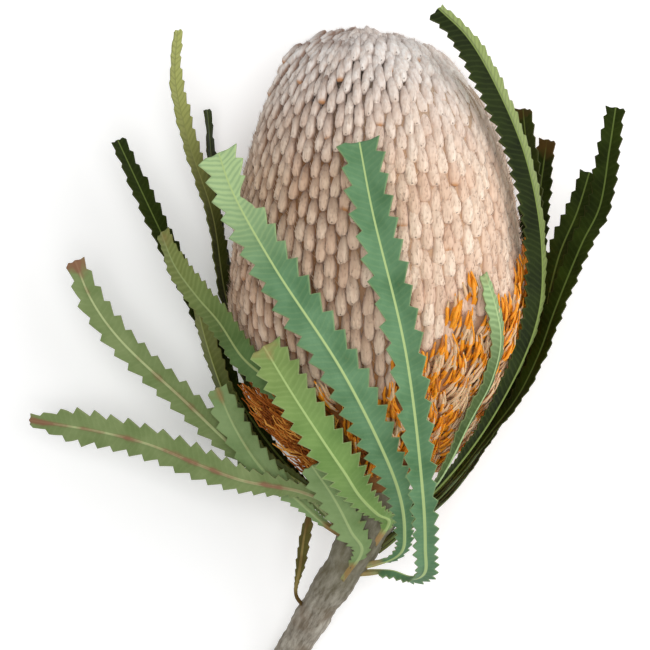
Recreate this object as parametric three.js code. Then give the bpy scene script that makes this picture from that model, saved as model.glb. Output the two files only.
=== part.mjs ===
// A banksia flower spike on a short cut stem, lying on its side: the egg-shaped head of closed florets,
// the collar of open florets round its lower end, the woody twig, and the saw-toothed leaves round it.
// Millimetres, +Z up. The origin is on the surface, under the head's widest point. +Y runs along the
// head towards its tip, and +X is to the right of someone who looks down with the tip pointing away.

import * as THREE from "three";

// Driving dimensions of the head
const HEAD_RADIUS = 46; // to the floret tips, at the widest point
const HEAD_TIP_Y = 83;
const HEAD_WIDEST_Y = -2;
const HEAD_FOOT_Y = -61;
const HEAD_FOOT_RADIUS = 9;
const HEAD_LEAN = -4; // sideways at the tip, which leans over to the left
const HEAD_LEAN_FROM_Y = 45;
const PRESSED = 3.2; // how far the lowest florets are pressed flat by the head's weight
const AXIS_Z = HEAD_RADIUS - PRESSED;

// Driving dimensions of the florets, in columns that are set half a row apart
const COLUMNS = 48;
const CLOSED_ROWS = 13;
const OPEN_ROWS = 3;
const FIRST_ROW_ALONG = 8; // from the tip of the head, along its outline
const ROW_PITCH = 9.6;
const FLAT_SHARE = 0.34; // the flat end of a floret's six-sided foot, as a share of the column's width
const CLOSED_FLORET = { groove: -2.5, foot: -0.9, tip: 0, flare: 0 };
const OPEN_FLORET = { groove: -3.5, foot: -2.2, tip: 3, flare: 5 };
const FLARE_TURN = THREE.MathUtils.degToRad(-95); // the open florets droop outwards most on the left
const CORE_DEPTH = 6.5; // from the outline in to the woody core, under the open florets
const GAP = 0.6; // between neighbouring pieces

// Driving dimensions of the stem
const STEM_RADIUS = 5.2;
const STEM_TOP_RADIUS = 8.2;
const STEM_SIDES = 12;
const STEM_STEPS = 18;
const STEM_KNOBS = 5; // swellings at old leaf scars
const STEM_KNOB_HEIGHT = 0.5;

// Driving dimensions shared by the leaves
const TOOTH_LEAN = 0.8; // a tooth's point stands past the middle of its pitch, so it leans forward
const NOTCH_SHARE = 0.6; // half-width at a notch, as a share of the half-width at the points
const BLADE_THICKNESS = 0.8;
const STALK_THICKNESS = 1.6;
const STALK_HALF_WIDTH = 1.1;
const STALK_LENGTH = 7;
const STALK_STEPS = 3;
const STALK_CLEARANCE = 1.4; // from the bark to the middle of the stalk's slanting end
const TIP_NARROWS_FROM = 0.85;
const TIP_CUT_SHARE = 0.8; // half-width of the blunt end, as a share of the half-width at the points

const FINISHES = {
  closed_florets: { color: 0xd9bda6, roughness: 0.95, metalness: 0 },
  open_florets: { color: 0xd0821f, roughness: 0.85, metalness: 0 },
  leaf_green: { color: 0x6f9a6c, roughness: 0.6, metalness: 0 },
  leaf_olive: { color: 0x5f6f35, roughness: 0.6, metalness: 0 },
  leaf_dark: { color: 0x39461c, roughness: 0.6, metalness: 0 },
  leaf_dry: { color: 0x86713f, roughness: 0.8, metalness: 0 },
  bark: { color: 0x7f7460, roughness: 0.9, metalness: 0 },
};

const UP = new THREE.Vector3(0, 0, 1);
const point = ([x, y, z]) => new THREE.Vector3(x, y, z);

// Meshes are gathered as shared points and triangles, counter-clockwise seen from outside.
class Shell {
  points = [];
  triangles = [];

  add(p) {
    this.points.push(p);
    return this.points.length - 1;
  }

  face(...corners) {
    this.triangles.push(...corners);
  }

  // Joins two rings of as many points, the first one nearer the tip of the piece.
  band(upper, lower) {
    upper.forEach((a, i) => {
      const next = (i + 1) % upper.length;
      this.face(upper[next], a, lower[i]);
      this.face(upper[next], lower[i], lower[next]);
    });
  }

  // Closes a ring with a fan round one point.
  fan(ring, centre) {
    const hub = this.add(centre);
    ring.forEach((a, i) => this.face(a, ring[(i + 1) % ring.length], hub));
  }

  geometry() {
    return new THREE.BufferGeometry().setFromPoints(this.points).setIndex(this.triangles);
  }
}

function piece(name, finish, shell) {
  const geometry = shell.geometry();
  geometry.computeVertexNormals();
  const mesh = new THREE.Mesh(geometry, new THREE.MeshStandardMaterial(FINISHES[finish]));
  mesh.name = name;
  return mesh;
}

// The head's outline from its tip to its foot, as radius and Y.
const outline = new THREE.CurvePath();
outline.add(
  new THREE.CubicBezierCurve(
    new THREE.Vector2(0, HEAD_TIP_Y),
    new THREE.Vector2(0.72 * HEAD_RADIUS, HEAD_TIP_Y),
    new THREE.Vector2(0.96 * HEAD_RADIUS, 0.54 * HEAD_TIP_Y),
    new THREE.Vector2(HEAD_RADIUS, HEAD_WIDEST_Y),
  ),
);
outline.add(
  new THREE.CubicBezierCurve(
    new THREE.Vector2(HEAD_RADIUS, HEAD_WIDEST_Y),
    new THREE.Vector2(HEAD_RADIUS, 0.4 * HEAD_FOOT_Y),
    new THREE.Vector2(0.61 * HEAD_RADIUS, 0.75 * HEAD_FOOT_Y),
    new THREE.Vector2(HEAD_FOOT_RADIUS, HEAD_FOOT_Y),
  ),
);
const OUTLINE_LENGTH = outline.getLength();

// A point on the head: turned round its axis from the top, along its outline from the tip, and lifted
// off it. The axis leans over near the tip. Nothing goes below the surface that the head lies on.
function onHead(turn, along, lift) {
  const share = along / OUTLINE_LENGTH;
  const at = outline.getPoint(share);
  const run = outline.getTangent(share);
  const radius = at.x - run.y * lift;
  const height = AXIS_Z + radius * Math.cos(turn);
  const lean = HEAD_LEAN * THREE.MathUtils.smoothstep(at.y, HEAD_LEAN_FROM_Y, HEAD_TIP_Y);
  return new THREE.Vector3(radius * Math.sin(turn) + lean, at.y + run.x * lift, Math.max(0, height));
}

// Florets raised from the head in six-sided cells: each has a groove round it and a ridge that rises to
// its tip. Returns the ring of points at the upper and at the lower end.
function raiseFlorets(shell, firstAlong, rows, floret) {
  const step = (2 * Math.PI) / COLUMNS;
  const lift = (turn, height) => height + floret.flare * Math.max(0, Math.cos(turn - FLARE_TURN)) ** 2;
  const along = (column, row) => firstAlong + (row + (column % 2) / 2) * ROW_PITCH;
  const raise = (turn, distance, height) => shell.add(onHead(turn, distance, lift(turn, height)));

  const ends = Array.from({ length: COLUMNS }, (_, column) =>
    Array.from({ length: rows + 1 }, (_, row) =>
      [-1, 1].map((side) =>
        raise((column + (side * FLAT_SHARE) / 2) * step, along(column, row), floret.groove),
      ),
    ),
  );
  for (let column = 0; column < COLUMNS; column++) {
    const before = ends[(column + COLUMNS - 1) % COLUMNS];
    const after = ends[(column + 1) % COLUMNS];
    for (let row = 0; row < rows; row++) {
      const [topLeft, topRight] = ends[column][row];
      const [footLeft, footRight] = ends[column][row + 1];
      const left = before[row + (column % 2)][1];
      const right = after[row + (column % 2)][0];
      const tip = raise(column * step, along(column, row + 0.3), floret.tip);
      const foot = raise(column * step, along(column, row + 0.72), floret.foot);
      shell.face(footLeft, footRight, foot);
      shell.face(footRight, right, foot);
      shell.face(right, tip, foot);
      shell.face(right, topRight, tip);
      shell.face(topRight, topLeft, tip);
      shell.face(topLeft, left, tip);
      shell.face(left, foot, tip);
      shell.face(left, footLeft, foot);
    }
  }
  const ring = (row) => ends.flatMap((column) => column[row]);
  return { upper: ring(0), lower: ring(rows) };
}

// The ring of core points under an end of the florets, sunk to a depth.
function sunkRing(shell, firstAlong, rows, depth) {
  const step = (2 * Math.PI) / COLUMNS;
  return Array.from({ length: 2 * COLUMNS }, (_, i) => {
    const column = Math.floor(i / 2);
    const side = i % 2 ? 1 : -1;
    const turn = (column + (side * FLAT_SHARE) / 2) * step;
    return shell.add(onHead(turn, firstAlong + (rows + (column % 2) / 2) * ROW_PITCH, -depth));
  });
}

const OPEN_ALONG = FIRST_ROW_ALONG + CLOSED_ROWS * ROW_PITCH + GAP;

// The closed florets with the woody core that they grow from, which runs on down through the open florets.
function closedFlorets() {
  const shell = new Shell();
  const { upper, lower } = raiseFlorets(shell, FIRST_ROW_ALONG, CLOSED_ROWS, CLOSED_FLORET);
  shell.fan(upper, onHead(0, 0, CLOSED_FLORET.foot));
  const coreTop = sunkRing(shell, FIRST_ROW_ALONG, CLOSED_ROWS, CORE_DEPTH);
  const coreEnd = sunkRing(shell, OPEN_ALONG, OPEN_ROWS, CORE_DEPTH);
  shell.band(lower, coreTop);
  shell.band(coreTop, coreEnd);
  const foot = coreEnd.map((_, i) => {
    const turn = (i / coreEnd.length) * 2 * Math.PI;
    const across = STEM_TOP_RADIUS * Math.sin(turn);
    return shell.add(new THREE.Vector3(across, HEAD_FOOT_Y, AXIS_Z + STEM_TOP_RADIUS * Math.cos(turn)));
  });
  shell.band(coreEnd, foot);
  shell.fan([...foot].reverse(), new THREE.Vector3(0, HEAD_FOOT_Y, AXIS_Z));
  return piece("closed_florets", "closed_florets", shell);
}

// The collar of open florets, a sleeve round the core.
function openFlorets() {
  const shell = new Shell();
  const { upper, lower } = raiseFlorets(shell, OPEN_ALONG, OPEN_ROWS, OPEN_FLORET);
  const innerTop = sunkRing(shell, OPEN_ALONG, 0, CORE_DEPTH - GAP);
  const innerEnd = sunkRing(shell, OPEN_ALONG, OPEN_ROWS, CORE_DEPTH - GAP);
  shell.band(lower, innerEnd);
  shell.band(innerEnd, innerTop);
  shell.band(innerTop, upper);
  return piece("open_florets", "open_florets", shell);
}

// The stem's route, from under the head down to its cut end on the surface.
const stemRoute = new THREE.CatmullRomCurve3(
  [
    [0, HEAD_FOOT_Y - GAP, AXIS_Z],
    [0, HEAD_FOOT_Y - 5, AXIS_Z],
    [-3, -73, 41],
    [-9, -84, 36],
    [-17, -97, 26],
    [-27, -115, 12],
    [-32, -124, 4.2],
  ].map(point),
);
const STEM_LENGTH = stemRoute.getLength();

function stemRadius(share) {
  const flare = (STEM_TOP_RADIUS - STEM_RADIUS) * (1 - share) ** 2.5;
  return STEM_RADIUS + flare + STEM_KNOB_HEIGHT * Math.sin(share * STEM_KNOBS * 2 * Math.PI) * (1 - share);
}

// A point on the stem: so far along it from the head, turned round it from the top, and lifted off it.
function onStem(distance, turn, lift) {
  const share = distance / STEM_LENGTH;
  const run = stemRoute.getTangentAt(share);
  const top = UP.clone().addScaledVector(run, -run.z).normalize();
  const right = new THREE.Vector3().crossVectors(top, run);
  const reach = stemRadius(share) + lift;
  const at = stemRoute.getPointAt(share);
  at.addScaledVector(top, reach * Math.cos(turn)).addScaledVector(right, reach * Math.sin(turn));
  at.z = Math.max(0, at.z);
  return at;
}

function stem() {
  const shell = new Shell();
  const rings = Array.from({ length: STEM_STEPS + 1 }, (_, step) =>
    Array.from({ length: STEM_SIDES }, (_, side) =>
      shell.add(onStem((step / STEM_STEPS) * STEM_LENGTH, (side / STEM_SIDES) * 2 * Math.PI, 0)),
    ),
  );
  for (let step = 0; step < STEM_STEPS; step++) {
    shell.band(rings[step], rings[step + 1]);
  }
  shell.fan(rings[0], stemRoute.getPointAt(0));
  shell.fan([...rings[STEM_STEPS]].reverse(), stemRoute.getPointAt(1));
  return piece("stem", "bark", shell);
}

// Each leaf: where its stalk leaves the stem (distance from the head, and turn from the top in degrees),
// its full width, the share of it left at the base and at the blunt tip and the share of the blade over
// which it widens, the pitch of its teeth, the way its outer face looks at the tip, how far the blade is
// twisted from there back to its stalk in degrees, how steeply its halves fall from the midrib (they rise
// where it is negative), and the points that the midrib passes.
const LEAVES = [
  {
    name: "leaf_front_right", finish: "leaf_green", stalk: [26, 75], width: 14.5, ends: [0.48, 0.95, 1.15],
    pitch: 7, facing: [0, 0, 1], twist: 0, fold: -0.2,
    midrib: [
      [4.5, -86.5, 41.5], [10.5, -88, 46], [14.4, -85.5, 54], [14.3, -77, 65], [13, -59, 80],
      [7.5, -17, 94.5], [-2.3, 24.7, 92], [-6, 45, 87],
    ],
  },
  {
    name: "leaf_front_left", finish: "leaf_green", stalk: [22, 60], width: 15, ends: [0.35, 0.95, 0.5],
    pitch: 6.6, facing: [-0.2, 0, 1], twist: 0, fold: -0.08,
    midrib: [
      [4.5, -82, 46.5], [7.6, -79, 51], [8.1, -72.5, 58.5], [6.6, -61.9, 70], [2.5, -50.2, 79.5],
      [-11.3, -22.7, 93], [-31.2, 7.8, 90], [-44, 30.8, 80], [-48.3, 42.6, 74],
    ],
  },
  {
    name: "leaf_front_short", finish: "leaf_green", stalk: [14, 45], width: 14.5, ends: [0.35, 0.85, 0.5],
    pitch: 5.2, facing: [-0.2, 0, 1], twist: 0, fold: 0.1,
    midrib: [
      [3.5, -70, 51], [0, -67.5, 57], [-5.8, -61.2, 66.5], [-10.1, -54.2, 74.5], [-15, -46.8, 79.5],
      [-25.9, -30, 83.5], [-34.6, -15.7, 80],
    ],
  },
  {
    name: "leaf_front_low", finish: "leaf_green", stalk: [29, 15], width: 12, ends: [0.4, 0.7, 0.5],
    pitch: 5.2, facing: [-0.2, 0, 1], twist: 0, fold: 0.1,
    midrib: [
      [-4.8, -79, 48], [-8, -73.5, 52.5], [-11.2, -66.8, 57.5], [-14.3, -61.1, 61.5], [-20.2, -52.3, 66.5],
    ],
  },
  {
    name: "leaf_left_low", finish: "leaf_green", stalk: [15, -50], width: 12.5, ends: [0.3, 0.6, 0.5],
    pitch: 6, facing: [0, -0.2, 1], twist: 0, fold: 0.12,
    midrib: [
      [-12, -67.5, 49], [-22, -61.5, 53], [-42, -57.3, 54], [-55, -52.8, 51], [-71, -46.6, 46],
      [-87, -42.8, 40], [-110, -39.5, 31],
    ],
  },
  {
    name: "leaf_left_mid", finish: "leaf_green", stalk: [17, -95], width: 10, ends: [0.3, 0.7, 0.5],
    pitch: 6.4, facing: [0, 0, 1], twist: 0, fold: 0.12,
    midrib: [
      [-27, -59, 41], [-40.5, -51.3, 41], [-61, -32.6, 41], [-81.7, -12.9, 39], [-90, -1, 38.5],
      [-95, 11, 38],
    ],
  },
  {
    name: "leaf_left_small", finish: "leaf_green", stalk: [18, -80], width: 10.5, ends: [0.3, 0.7, 0.5],
    pitch: 5.5, facing: [0, 0, 1], twist: 0, fold: 0.12,
    midrib: [[-17, -71, 44], [-27, -62, 47], [-36, -54, 48], [-44, -42, 48], [-50, -29, 46]],
  },
  {
    name: "leaf_left_high", finish: "leaf_olive", stalk: [6, 0], width: 10.5, ends: [0.3, 0.6, 0.5],
    pitch: 4.6, facing: [-0.75, 0, 0.66], twist: 30, fold: 0.12,
    midrib: [
      [-4, -62, 56], [-9, -55, 63.5], [-14, -48, 70], [-20, -39.5, 74.5], [-27, -31, 75.5],
      [-34.5, -25, 71.5], [-41.3, -19.1, 66.5], [-48.5, -8.5, 62], [-55.5, -0.5, 58], [-62.4, 8.9, 54],
      [-66.9, 19.5, 50],
    ],
  },
  {
    name: "leaf_left_back", finish: "leaf_olive", stalk: [14, -120], width: 10, ends: [0.3, 0.7, 0.5],
    pitch: 7, facing: [-0.8, 0, 0.6], twist: 0, fold: 0.15,
    midrib: [[-21, -61, 29], [-38, -49, 29], [-47, -33, 33], [-53, -16, 36], [-57, 0, 37]],
  },
  {
    name: "leaf_left_dark", finish: "leaf_dark", stalk: [11, -140], width: 10, ends: [0.3, 0.7, 0.5],
    pitch: 7, facing: [-0.8, 0, -0.6], twist: 0, fold: 0.15,
    midrib: [[-25, -58, 23], [-43, -35, 24], [-57, -4, 29], [-69, 21, 33], [-82, 49, 36]],
  },
  {
    name: "leaf_left_tall", finish: "leaf_olive", stalk: [7, -125], width: 10, ends: [0.3, 0.6, 0.5],
    pitch: 6, facing: [-0.9, 0, -0.45], twist: 0, fold: 0.2,
    midrib: [
      [-22, -54, 18], [-40, -30, 16], [-48.5, 0, 21.5], [-52.5, 26, 28], [-59.5, 48, 35], [-63.6, 68, 41.5],
      [-62.6, 82.7, 46],
    ],
  },
  {
    name: "leaf_left_under", finish: "leaf_dark", stalk: [5, -155], width: 9, ends: [0.3, 0.7, 0.5],
    pitch: 8, facing: [-0.95, 0, -0.3], twist: 0, fold: 0.15,
    midrib: [[-19, -51, 12], [-37, -24, 9], [-50, 15, 12], [-54.5, 60, 18]],
  },
  {
    name: "leaf_right_tall", finish: "leaf_olive", stalk: [6, 75], width: 13, ends: [0.3, 0.6, 0.5],
    pitch: 5, facing: [0.85, 0, 0.53], twist: 0, fold: 0.3,
    midrib: [
      [19, -59, 54], [36, -36, 58], [48.5, -8, 60], [50, 14, 60], [45.5, 40, 62], [37, 61, 65],
      [27, 78, 68], [18, 87, 68],
    ],
  },
  {
    name: "leaf_right_dark", finish: "leaf_dark", stalk: [10, 110], width: 12, ends: [0.3, 0.7, 0.5],
    pitch: 7, facing: [0.75, 0, -0.66], twist: 0, fold: 0.15,
    midrib: [[22, -60, 33], [41, -34, 27], [49.5, -2, 26], [49.5, 30, 30], [46.5, 59, 36]],
  },
  {
    name: "leaf_right_brown", finish: "leaf_dark", stalk: [13, 125], width: 10, ends: [0.3, 0.7, 0.5],
    pitch: 5.5, facing: [0.6, 0, -0.8], twist: 0, fold: 0.15,
    midrib: [[24, -60, 25], [43, -28, 16], [50.5, 2, 16], [52.5, 29, 20], [55, 50, 24]],
  },
  {
    name: "leaf_right_far", finish: "leaf_dark", stalk: [15, 82], width: 10, ends: [0.2, 0.7, 0.5],
    pitch: 5, facing: [0.5, 0, -0.87], twist: 0, fold: 0.2,
    midrib: [
      [21, -61, 48], [35.6, -43, 48.5], [44.2, -31.5, 49], [50.6, -18.5, 49.5], [55.5, -4.7, 50.5],
      [63.6, 15.6, 52], [69, 27, 53], [71.8, 44.5, 55], [73.6, 57.8, 57],
    ],
  },
  {
    name: "leaf_right_mid", finish: "leaf_dark", stalk: [18, 100], width: 10, ends: [0.25, 0.7, 0.5],
    pitch: 6, facing: [0.5, 0, -0.87], twist: 0, fold: 0.2,
    midrib: [
      [23, -62.5, 40], [40.5, -36, 38], [52, -11, 39.5], [55, 3.2, 41], [58, 14.1, 42], [62.9, 26, 43.5],
      [66.6, 38.4, 45],
    ],
  },
  {
    name: "leaf_right_front", finish: "leaf_green", stalk: [4, 45], width: 8, ends: [0.3, 0.6, 0.5],
    pitch: 5, facing: [0.8, 0, 0.6], twist: 0, fold: 0.2,
    midrib: [[17, -59, 60], [28, -38, 67], [34, -26, 71], [36.5, -14, 75], [34.8, -4, 78], [31.5, 6, 80]],
  },
  {
    name: "leaf_dry", finish: "leaf_dry", stalk: [49, -70], width: 4, ends: [0.3, 0.4, 0.5],
    pitch: 5, facing: [-0.6, 0, 0.8], twist: 60, fold: 0.3,
    midrib: [[-25.5, -95, 29], [-24, -85, 35], [-22.5, -75, 40], [-21, -68, 43]],
  },
];

// Distances along a leaf with its half-width at each: a few up the stalk, then a notch and a point for
// every tooth.
function leafStations(length, halfWidth, [baseShare, tipShare, widensFor], pitch) {
  const blade = length - STALK_LENGTH;
  const teeth = Math.max(3, Math.round(blade / pitch));
  const reach = (share) => {
    const widened = baseShare + (1 - baseShare) * THREE.MathUtils.smoothstep(share, 0, widensFor);
    const narrowed = (1 - tipShare) * THREE.MathUtils.smoothstep(share, TIP_NARROWS_FROM, 1);
    return halfWidth * widened * (1 - narrowed);
  };
  const stations = Array.from({ length: STALK_STEPS }, (_, i) => ({
    distance: (i / STALK_STEPS) * STALK_LENGTH,
    half: STALK_HALF_WIDTH,
    thickness: STALK_THICKNESS,
  }));
  for (let tooth = 0; tooth < teeth; tooth++) {
    for (const [part, share] of [[0, NOTCH_SHARE], [TOOTH_LEAN, 1]]) {
      const along = (tooth + part) / teeth;
      const half = Math.max(STALK_HALF_WIDTH, reach(along) * share);
      stations.push({ distance: STALK_LENGTH + along * blade, half, thickness: BLADE_THICKNESS });
    }
  }
  stations.push({ distance: length, half: reach(1) * TIP_CUT_SHARE, thickness: BLADE_THICKNESS });
  return stations;
}

function leaf({ name, finish, stalk, width, ends, pitch, facing, twist, fold, midrib }) {
  const turn = THREE.MathUtils.degToRad(stalk[1]);
  const root = onStem(stalk[0], turn, STALK_CLEARANCE);
  const route = new THREE.CatmullRomCurve3([root, ...midrib.map(point)], false, "centripetal");
  const length = route.getLength();
  const stations = leafStations(length, width / 2, ends, pitch);
  const runs = stations.map(({ distance }) => route.getTangentAt(Math.min(1, distance / length)));

  // The outer face's direction is carried back from the tip without turning round the midrib, then twisted.
  const last = stations.length - 1;
  const faces = [];
  faces[last] = point(facing);
  faces[last].addScaledVector(runs[last], -faces[last].dot(runs[last])).normalize();
  for (let i = last - 1; i >= 0; i--) {
    const bend = new THREE.Quaternion().setFromUnitVectors(runs[i + 1], runs[i]);
    faces[i] = faces[i + 1].clone().applyQuaternion(bend);
  }

  const shell = new Shell();
  const sections = stations.map(({ distance, half, thickness }, i) => {
    const twisted = THREE.MathUtils.degToRad(twist) * (1 - distance / length);
    const out = faces[i].clone().applyAxisAngle(runs[i], twisted);
    const across = new THREE.Vector3().crossVectors(runs[i], out);
    const centre = route.getPointAt(Math.min(1, distance / length));
    const corner = (side, face) => {
      const p = centre.clone().addScaledVector(across, side * half);
      p.addScaledVector(out, (face * thickness) / 2 - Math.abs(side) * fold * half);
      return shell.add(p);
    };
    return [-1, 0, 1].map((side) => [corner(side, 1), corner(side, -1)]);
  });

  // Both faces are split along the same diagonals, so that the blade keeps its thickness where it bends.
  for (let i = 0; i < last; i++) {
    const [a, b] = [sections[i], sections[i + 1]];
    for (const [near, far] of [[0, 1], [1, 2]]) {
      shell.face(a[near][0], a[far][0], b[far][0]);
      shell.face(a[near][0], b[far][0], b[near][0]);
      shell.face(a[near][1], b[far][1], a[far][1]);
      shell.face(a[near][1], b[near][1], b[far][1]);
    }
    shell.face(a[2][0], a[2][1], b[2][1]);
    shell.face(a[2][0], b[2][1], b[2][0]);
    shell.face(a[0][1], a[0][0], b[0][0]);
    shell.face(a[0][1], b[0][0], b[0][1]);
  }
  for (const [near, far] of [[0, 1], [1, 2]]) {
    const [root, tip] = [sections[0], sections[last]];
    shell.face(root[near][0], root[near][1], root[far][1]);
    shell.face(root[near][0], root[far][1], root[far][0]);
    shell.face(tip[near][0], tip[far][1], tip[near][1]);
    shell.face(tip[near][0], tip[far][0], tip[far][1]);
  }
  return piece(name, finish, shell);
}

const banksia = new THREE.Group();
banksia.add(closedFlorets(), openFlorets(), stem(), ...LEAVES.map(leaf));

export default banksia;
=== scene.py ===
# A banksia flower spike on a short cut stem, lying on its side: the core of the spike, its closed florets,
# its open florets, the stem, and the saw-toothed leaves. The frame is the CAD model's: +Z up, +Y along
# the spike towards its tip. Sizes here are millimetres, and each finished mesh is scaled to metres once.

import math

import bmesh
import bpy
import numpy as np
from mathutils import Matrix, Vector


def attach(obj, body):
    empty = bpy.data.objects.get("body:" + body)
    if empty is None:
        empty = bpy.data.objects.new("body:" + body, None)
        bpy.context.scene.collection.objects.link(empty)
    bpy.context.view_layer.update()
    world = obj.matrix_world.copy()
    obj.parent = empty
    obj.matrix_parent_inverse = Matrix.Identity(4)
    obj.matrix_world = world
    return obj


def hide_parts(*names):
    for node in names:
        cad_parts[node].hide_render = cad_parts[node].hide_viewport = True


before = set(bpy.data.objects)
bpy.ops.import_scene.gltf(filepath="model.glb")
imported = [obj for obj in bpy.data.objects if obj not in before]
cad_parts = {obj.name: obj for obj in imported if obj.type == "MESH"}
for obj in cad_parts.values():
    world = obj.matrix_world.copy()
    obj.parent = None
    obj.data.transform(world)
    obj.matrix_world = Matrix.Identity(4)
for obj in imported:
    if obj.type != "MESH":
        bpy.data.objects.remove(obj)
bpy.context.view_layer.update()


# The core of the spike: the swollen woody end of the branch, covered in short brown fur. Every floret
# grows out of it, and it shows only as the dark gaps between them.
MM_PER_METRE = 1000  # the scale of a pattern is this over its size in millimetres
METRES = 1 / MM_PER_METRE
SPIKE_AXIS_Z = 42.8
SPIKE_LEAN = -4.0  # sideways at the tip
SPIKE_LEAN_FROM_Y = 45.0
SPIKE_TIP_Y = 83.0
CORE_DEPTH = 1.3  # below the florets' outer ends
CORE_CROWN_DEPTH = 4.0  # where the crown's florets stand deep
CORE_CROWN_ALONG = (25, 52)  # from the tip along the outline, where the one depth becomes the other
CORE_LOWEST = 0.2
CORE_SIDES = 72
CORE_NECK = (7.9, -62.0)  # its radius and Y where the stem takes over


def linear(srgb):
    """Turns an sRGB hex colour into the linear one that a shader takes."""
    channels = [int(srgb[i : i + 2], 16) / 255 for i in (1, 3, 5)]
    return tuple(c / 12.92 if c <= 0.04045 else ((c + 0.055) / 1.055) ** 2.4 for c in channels) + (1.0,)


def add(tree, kind, links=None, output=0, **settings):
    """Adds a node, links or sets its inputs, and gives the output that is asked for."""
    node = tree.nodes.new(kind)
    for name, value in settings.items():
        setattr(node, name, value)
    for name, value in (links or {}).items():
        if isinstance(value, bpy.types.NodeSocket):
            tree.links.new(value, node.inputs[name])
        else:
            node.inputs[name].default_value = value
    return node.outputs[output] if node.outputs else None


def new_material(name):
    material = bpy.data.materials.new(name)
    material.use_nodes = True
    material.node_tree.nodes.clear()
    return material, material.node_tree


def layered(tree, ground, *layers):
    """Lays more colours over a ground colour. A layer is the value that it follows, that value's limits, how
    strongly the layer shows at each of them, its colour and, for some, a share that holds it back."""
    hue = linear(ground)
    for value, limits, strengths, colour, *held in layers:
        span = {1: limits[0], 2: limits[1], 3: strengths[0], 4: strengths[1]}
        share = add(tree, "ShaderNodeMapRange", {"Value": value, **span})
        for other in held:
            share = add(tree, "ShaderNodeMath", {0: share, 1: other}, operation="MULTIPLY")
        hue = add(tree, "ShaderNodeMix", {0: share, 6: hue, 7: linear(colour)}, output=2, data_type="RGBA")
    return hue


def new_piece(name, points, faces, *materials):
    """Makes a closed piece from points in millimetres, with its faces turned outwards."""
    mesh = bpy.data.meshes.new(name)
    mesh.from_pydata((np.asarray(points) * METRES).tolist(), [], faces)
    shell = bmesh.new()
    shell.from_mesh(mesh)
    bmesh.ops.recalc_face_normals(shell, faces=shell.faces)
    shell.to_mesh(mesh)
    shell.free()
    mesh.shade_smooth()
    for material in materials:
        mesh.materials.append(material)
    made = bpy.data.objects.new(name, mesh)
    bpy.context.scene.collection.objects.link(made)
    return made


def unit(vectors):
    return vectors / np.linalg.norm(vectors, axis=-1, keepdims=True)


def smoothstep(values, low, high):
    share = np.clip((values - low) / (high - low), 0, 1)
    return share * share * (3 - 2 * share)


def carried(runs, first):
    """Carries a direction along a route without turning it round the route."""
    directions = [unit(first - runs[0] * np.dot(first, runs[0]))]
    for before, after in zip(runs[:-1], runs[1:]):
        bend = np.cross(before, after)
        cosine = np.dot(before, after)
        last = directions[-1]
        turned = last * cosine + np.cross(bend, last) + bend * np.dot(bend, last) / (1 + cosine)
        directions.append(unit(turned - after * np.dot(turned, after)))
    return np.array(directions)


def sweep(route, widths, heights, sides, up):
    """Carries an oval along a route and closes both ends. Gives the points, the faces, and for each point
    its share of the way along and how far round from the top it is."""
    route = np.asarray(route, float)
    runs = unit(np.gradient(route, axis=0))
    ups = carried(runs, np.asarray(up, float))
    across = np.cross(runs, ups)
    angles = np.arange(sides) / sides * 2 * np.pi
    flat = np.multiply.outer(widths, np.cos(angles))[:, :, None] * across[:, None, :]
    tall = np.multiply.outer(heights, np.sin(angles))[:, :, None] * ups[:, None, :]
    rings = route[:, None, :] + flat + tall
    count = len(route)
    points = np.vstack([rings.reshape(-1, 3), route[:1], route[-1:]])
    first, last = count * sides, count * sides + 1
    faces = []
    for side in range(sides):
        after = (side + 1) % sides
        faces.append((first, after, side))
        faces.append((last, (count - 1) * sides + side, (count - 1) * sides + after))
        for ring in range(count - 1):
            near, far = ring * sides, (ring + 1) * sides
            faces.append((near + side, near + after, far + after, far + side))
    shares = np.append(np.repeat(np.linspace(0, 1, count), sides), [0, 1])
    flanks = np.append(np.tile(1 - np.maximum(0, np.sin(angles)), count), [0.3, 0.3])
    return points, faces, shares, flanks


# The spike's outline from its tip to its foot, as radius and Y, in two curves that meet at its widest.
steps = np.linspace(0, 1, 120)[:, None]
halves = (
    ((0.0, SPIKE_TIP_Y), (33.1, SPIKE_TIP_Y), (44.2, 44.8), (46.0, -2.0)),
    ((46.0, -2.0), (46.0, -24.4), (28.1, -45.8), (9.0, -61.0)),
)
curves = [
    (1 - steps) ** 3 * np.array(a)
    + 3 * (1 - steps) ** 2 * steps * np.array(b)
    + 3 * (1 - steps) * steps**2 * np.array(c)
    + steps**3 * np.array(d)
    for a, b, c, d in halves
]
outline = np.vstack([curves[0], curves[1][1:]])
outline_run = unit(np.gradient(outline, axis=0))
outline_along = np.append(0, np.cumsum(np.linalg.norm(np.diff(outline, axis=0), axis=1)))
depth = CORE_CROWN_DEPTH + (CORE_DEPTH - CORE_CROWN_DEPTH) * smoothstep(outline_along, *CORE_CROWN_ALONG)
sunk = outline + depth[:, None] * np.column_stack([outline_run[:, 1], -outline_run[:, 0]])
sunk = np.vstack([sunk[sunk[:, 0] > 0.5], CORE_NECK])
core_lean = SPIKE_LEAN * smoothstep(sunk[:, 1], SPIKE_LEAN_FROM_Y, SPIKE_TIP_Y)
core_route = np.column_stack([core_lean, sunk[:, 1], np.full(len(sunk), SPIKE_AXIS_Z)])

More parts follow.
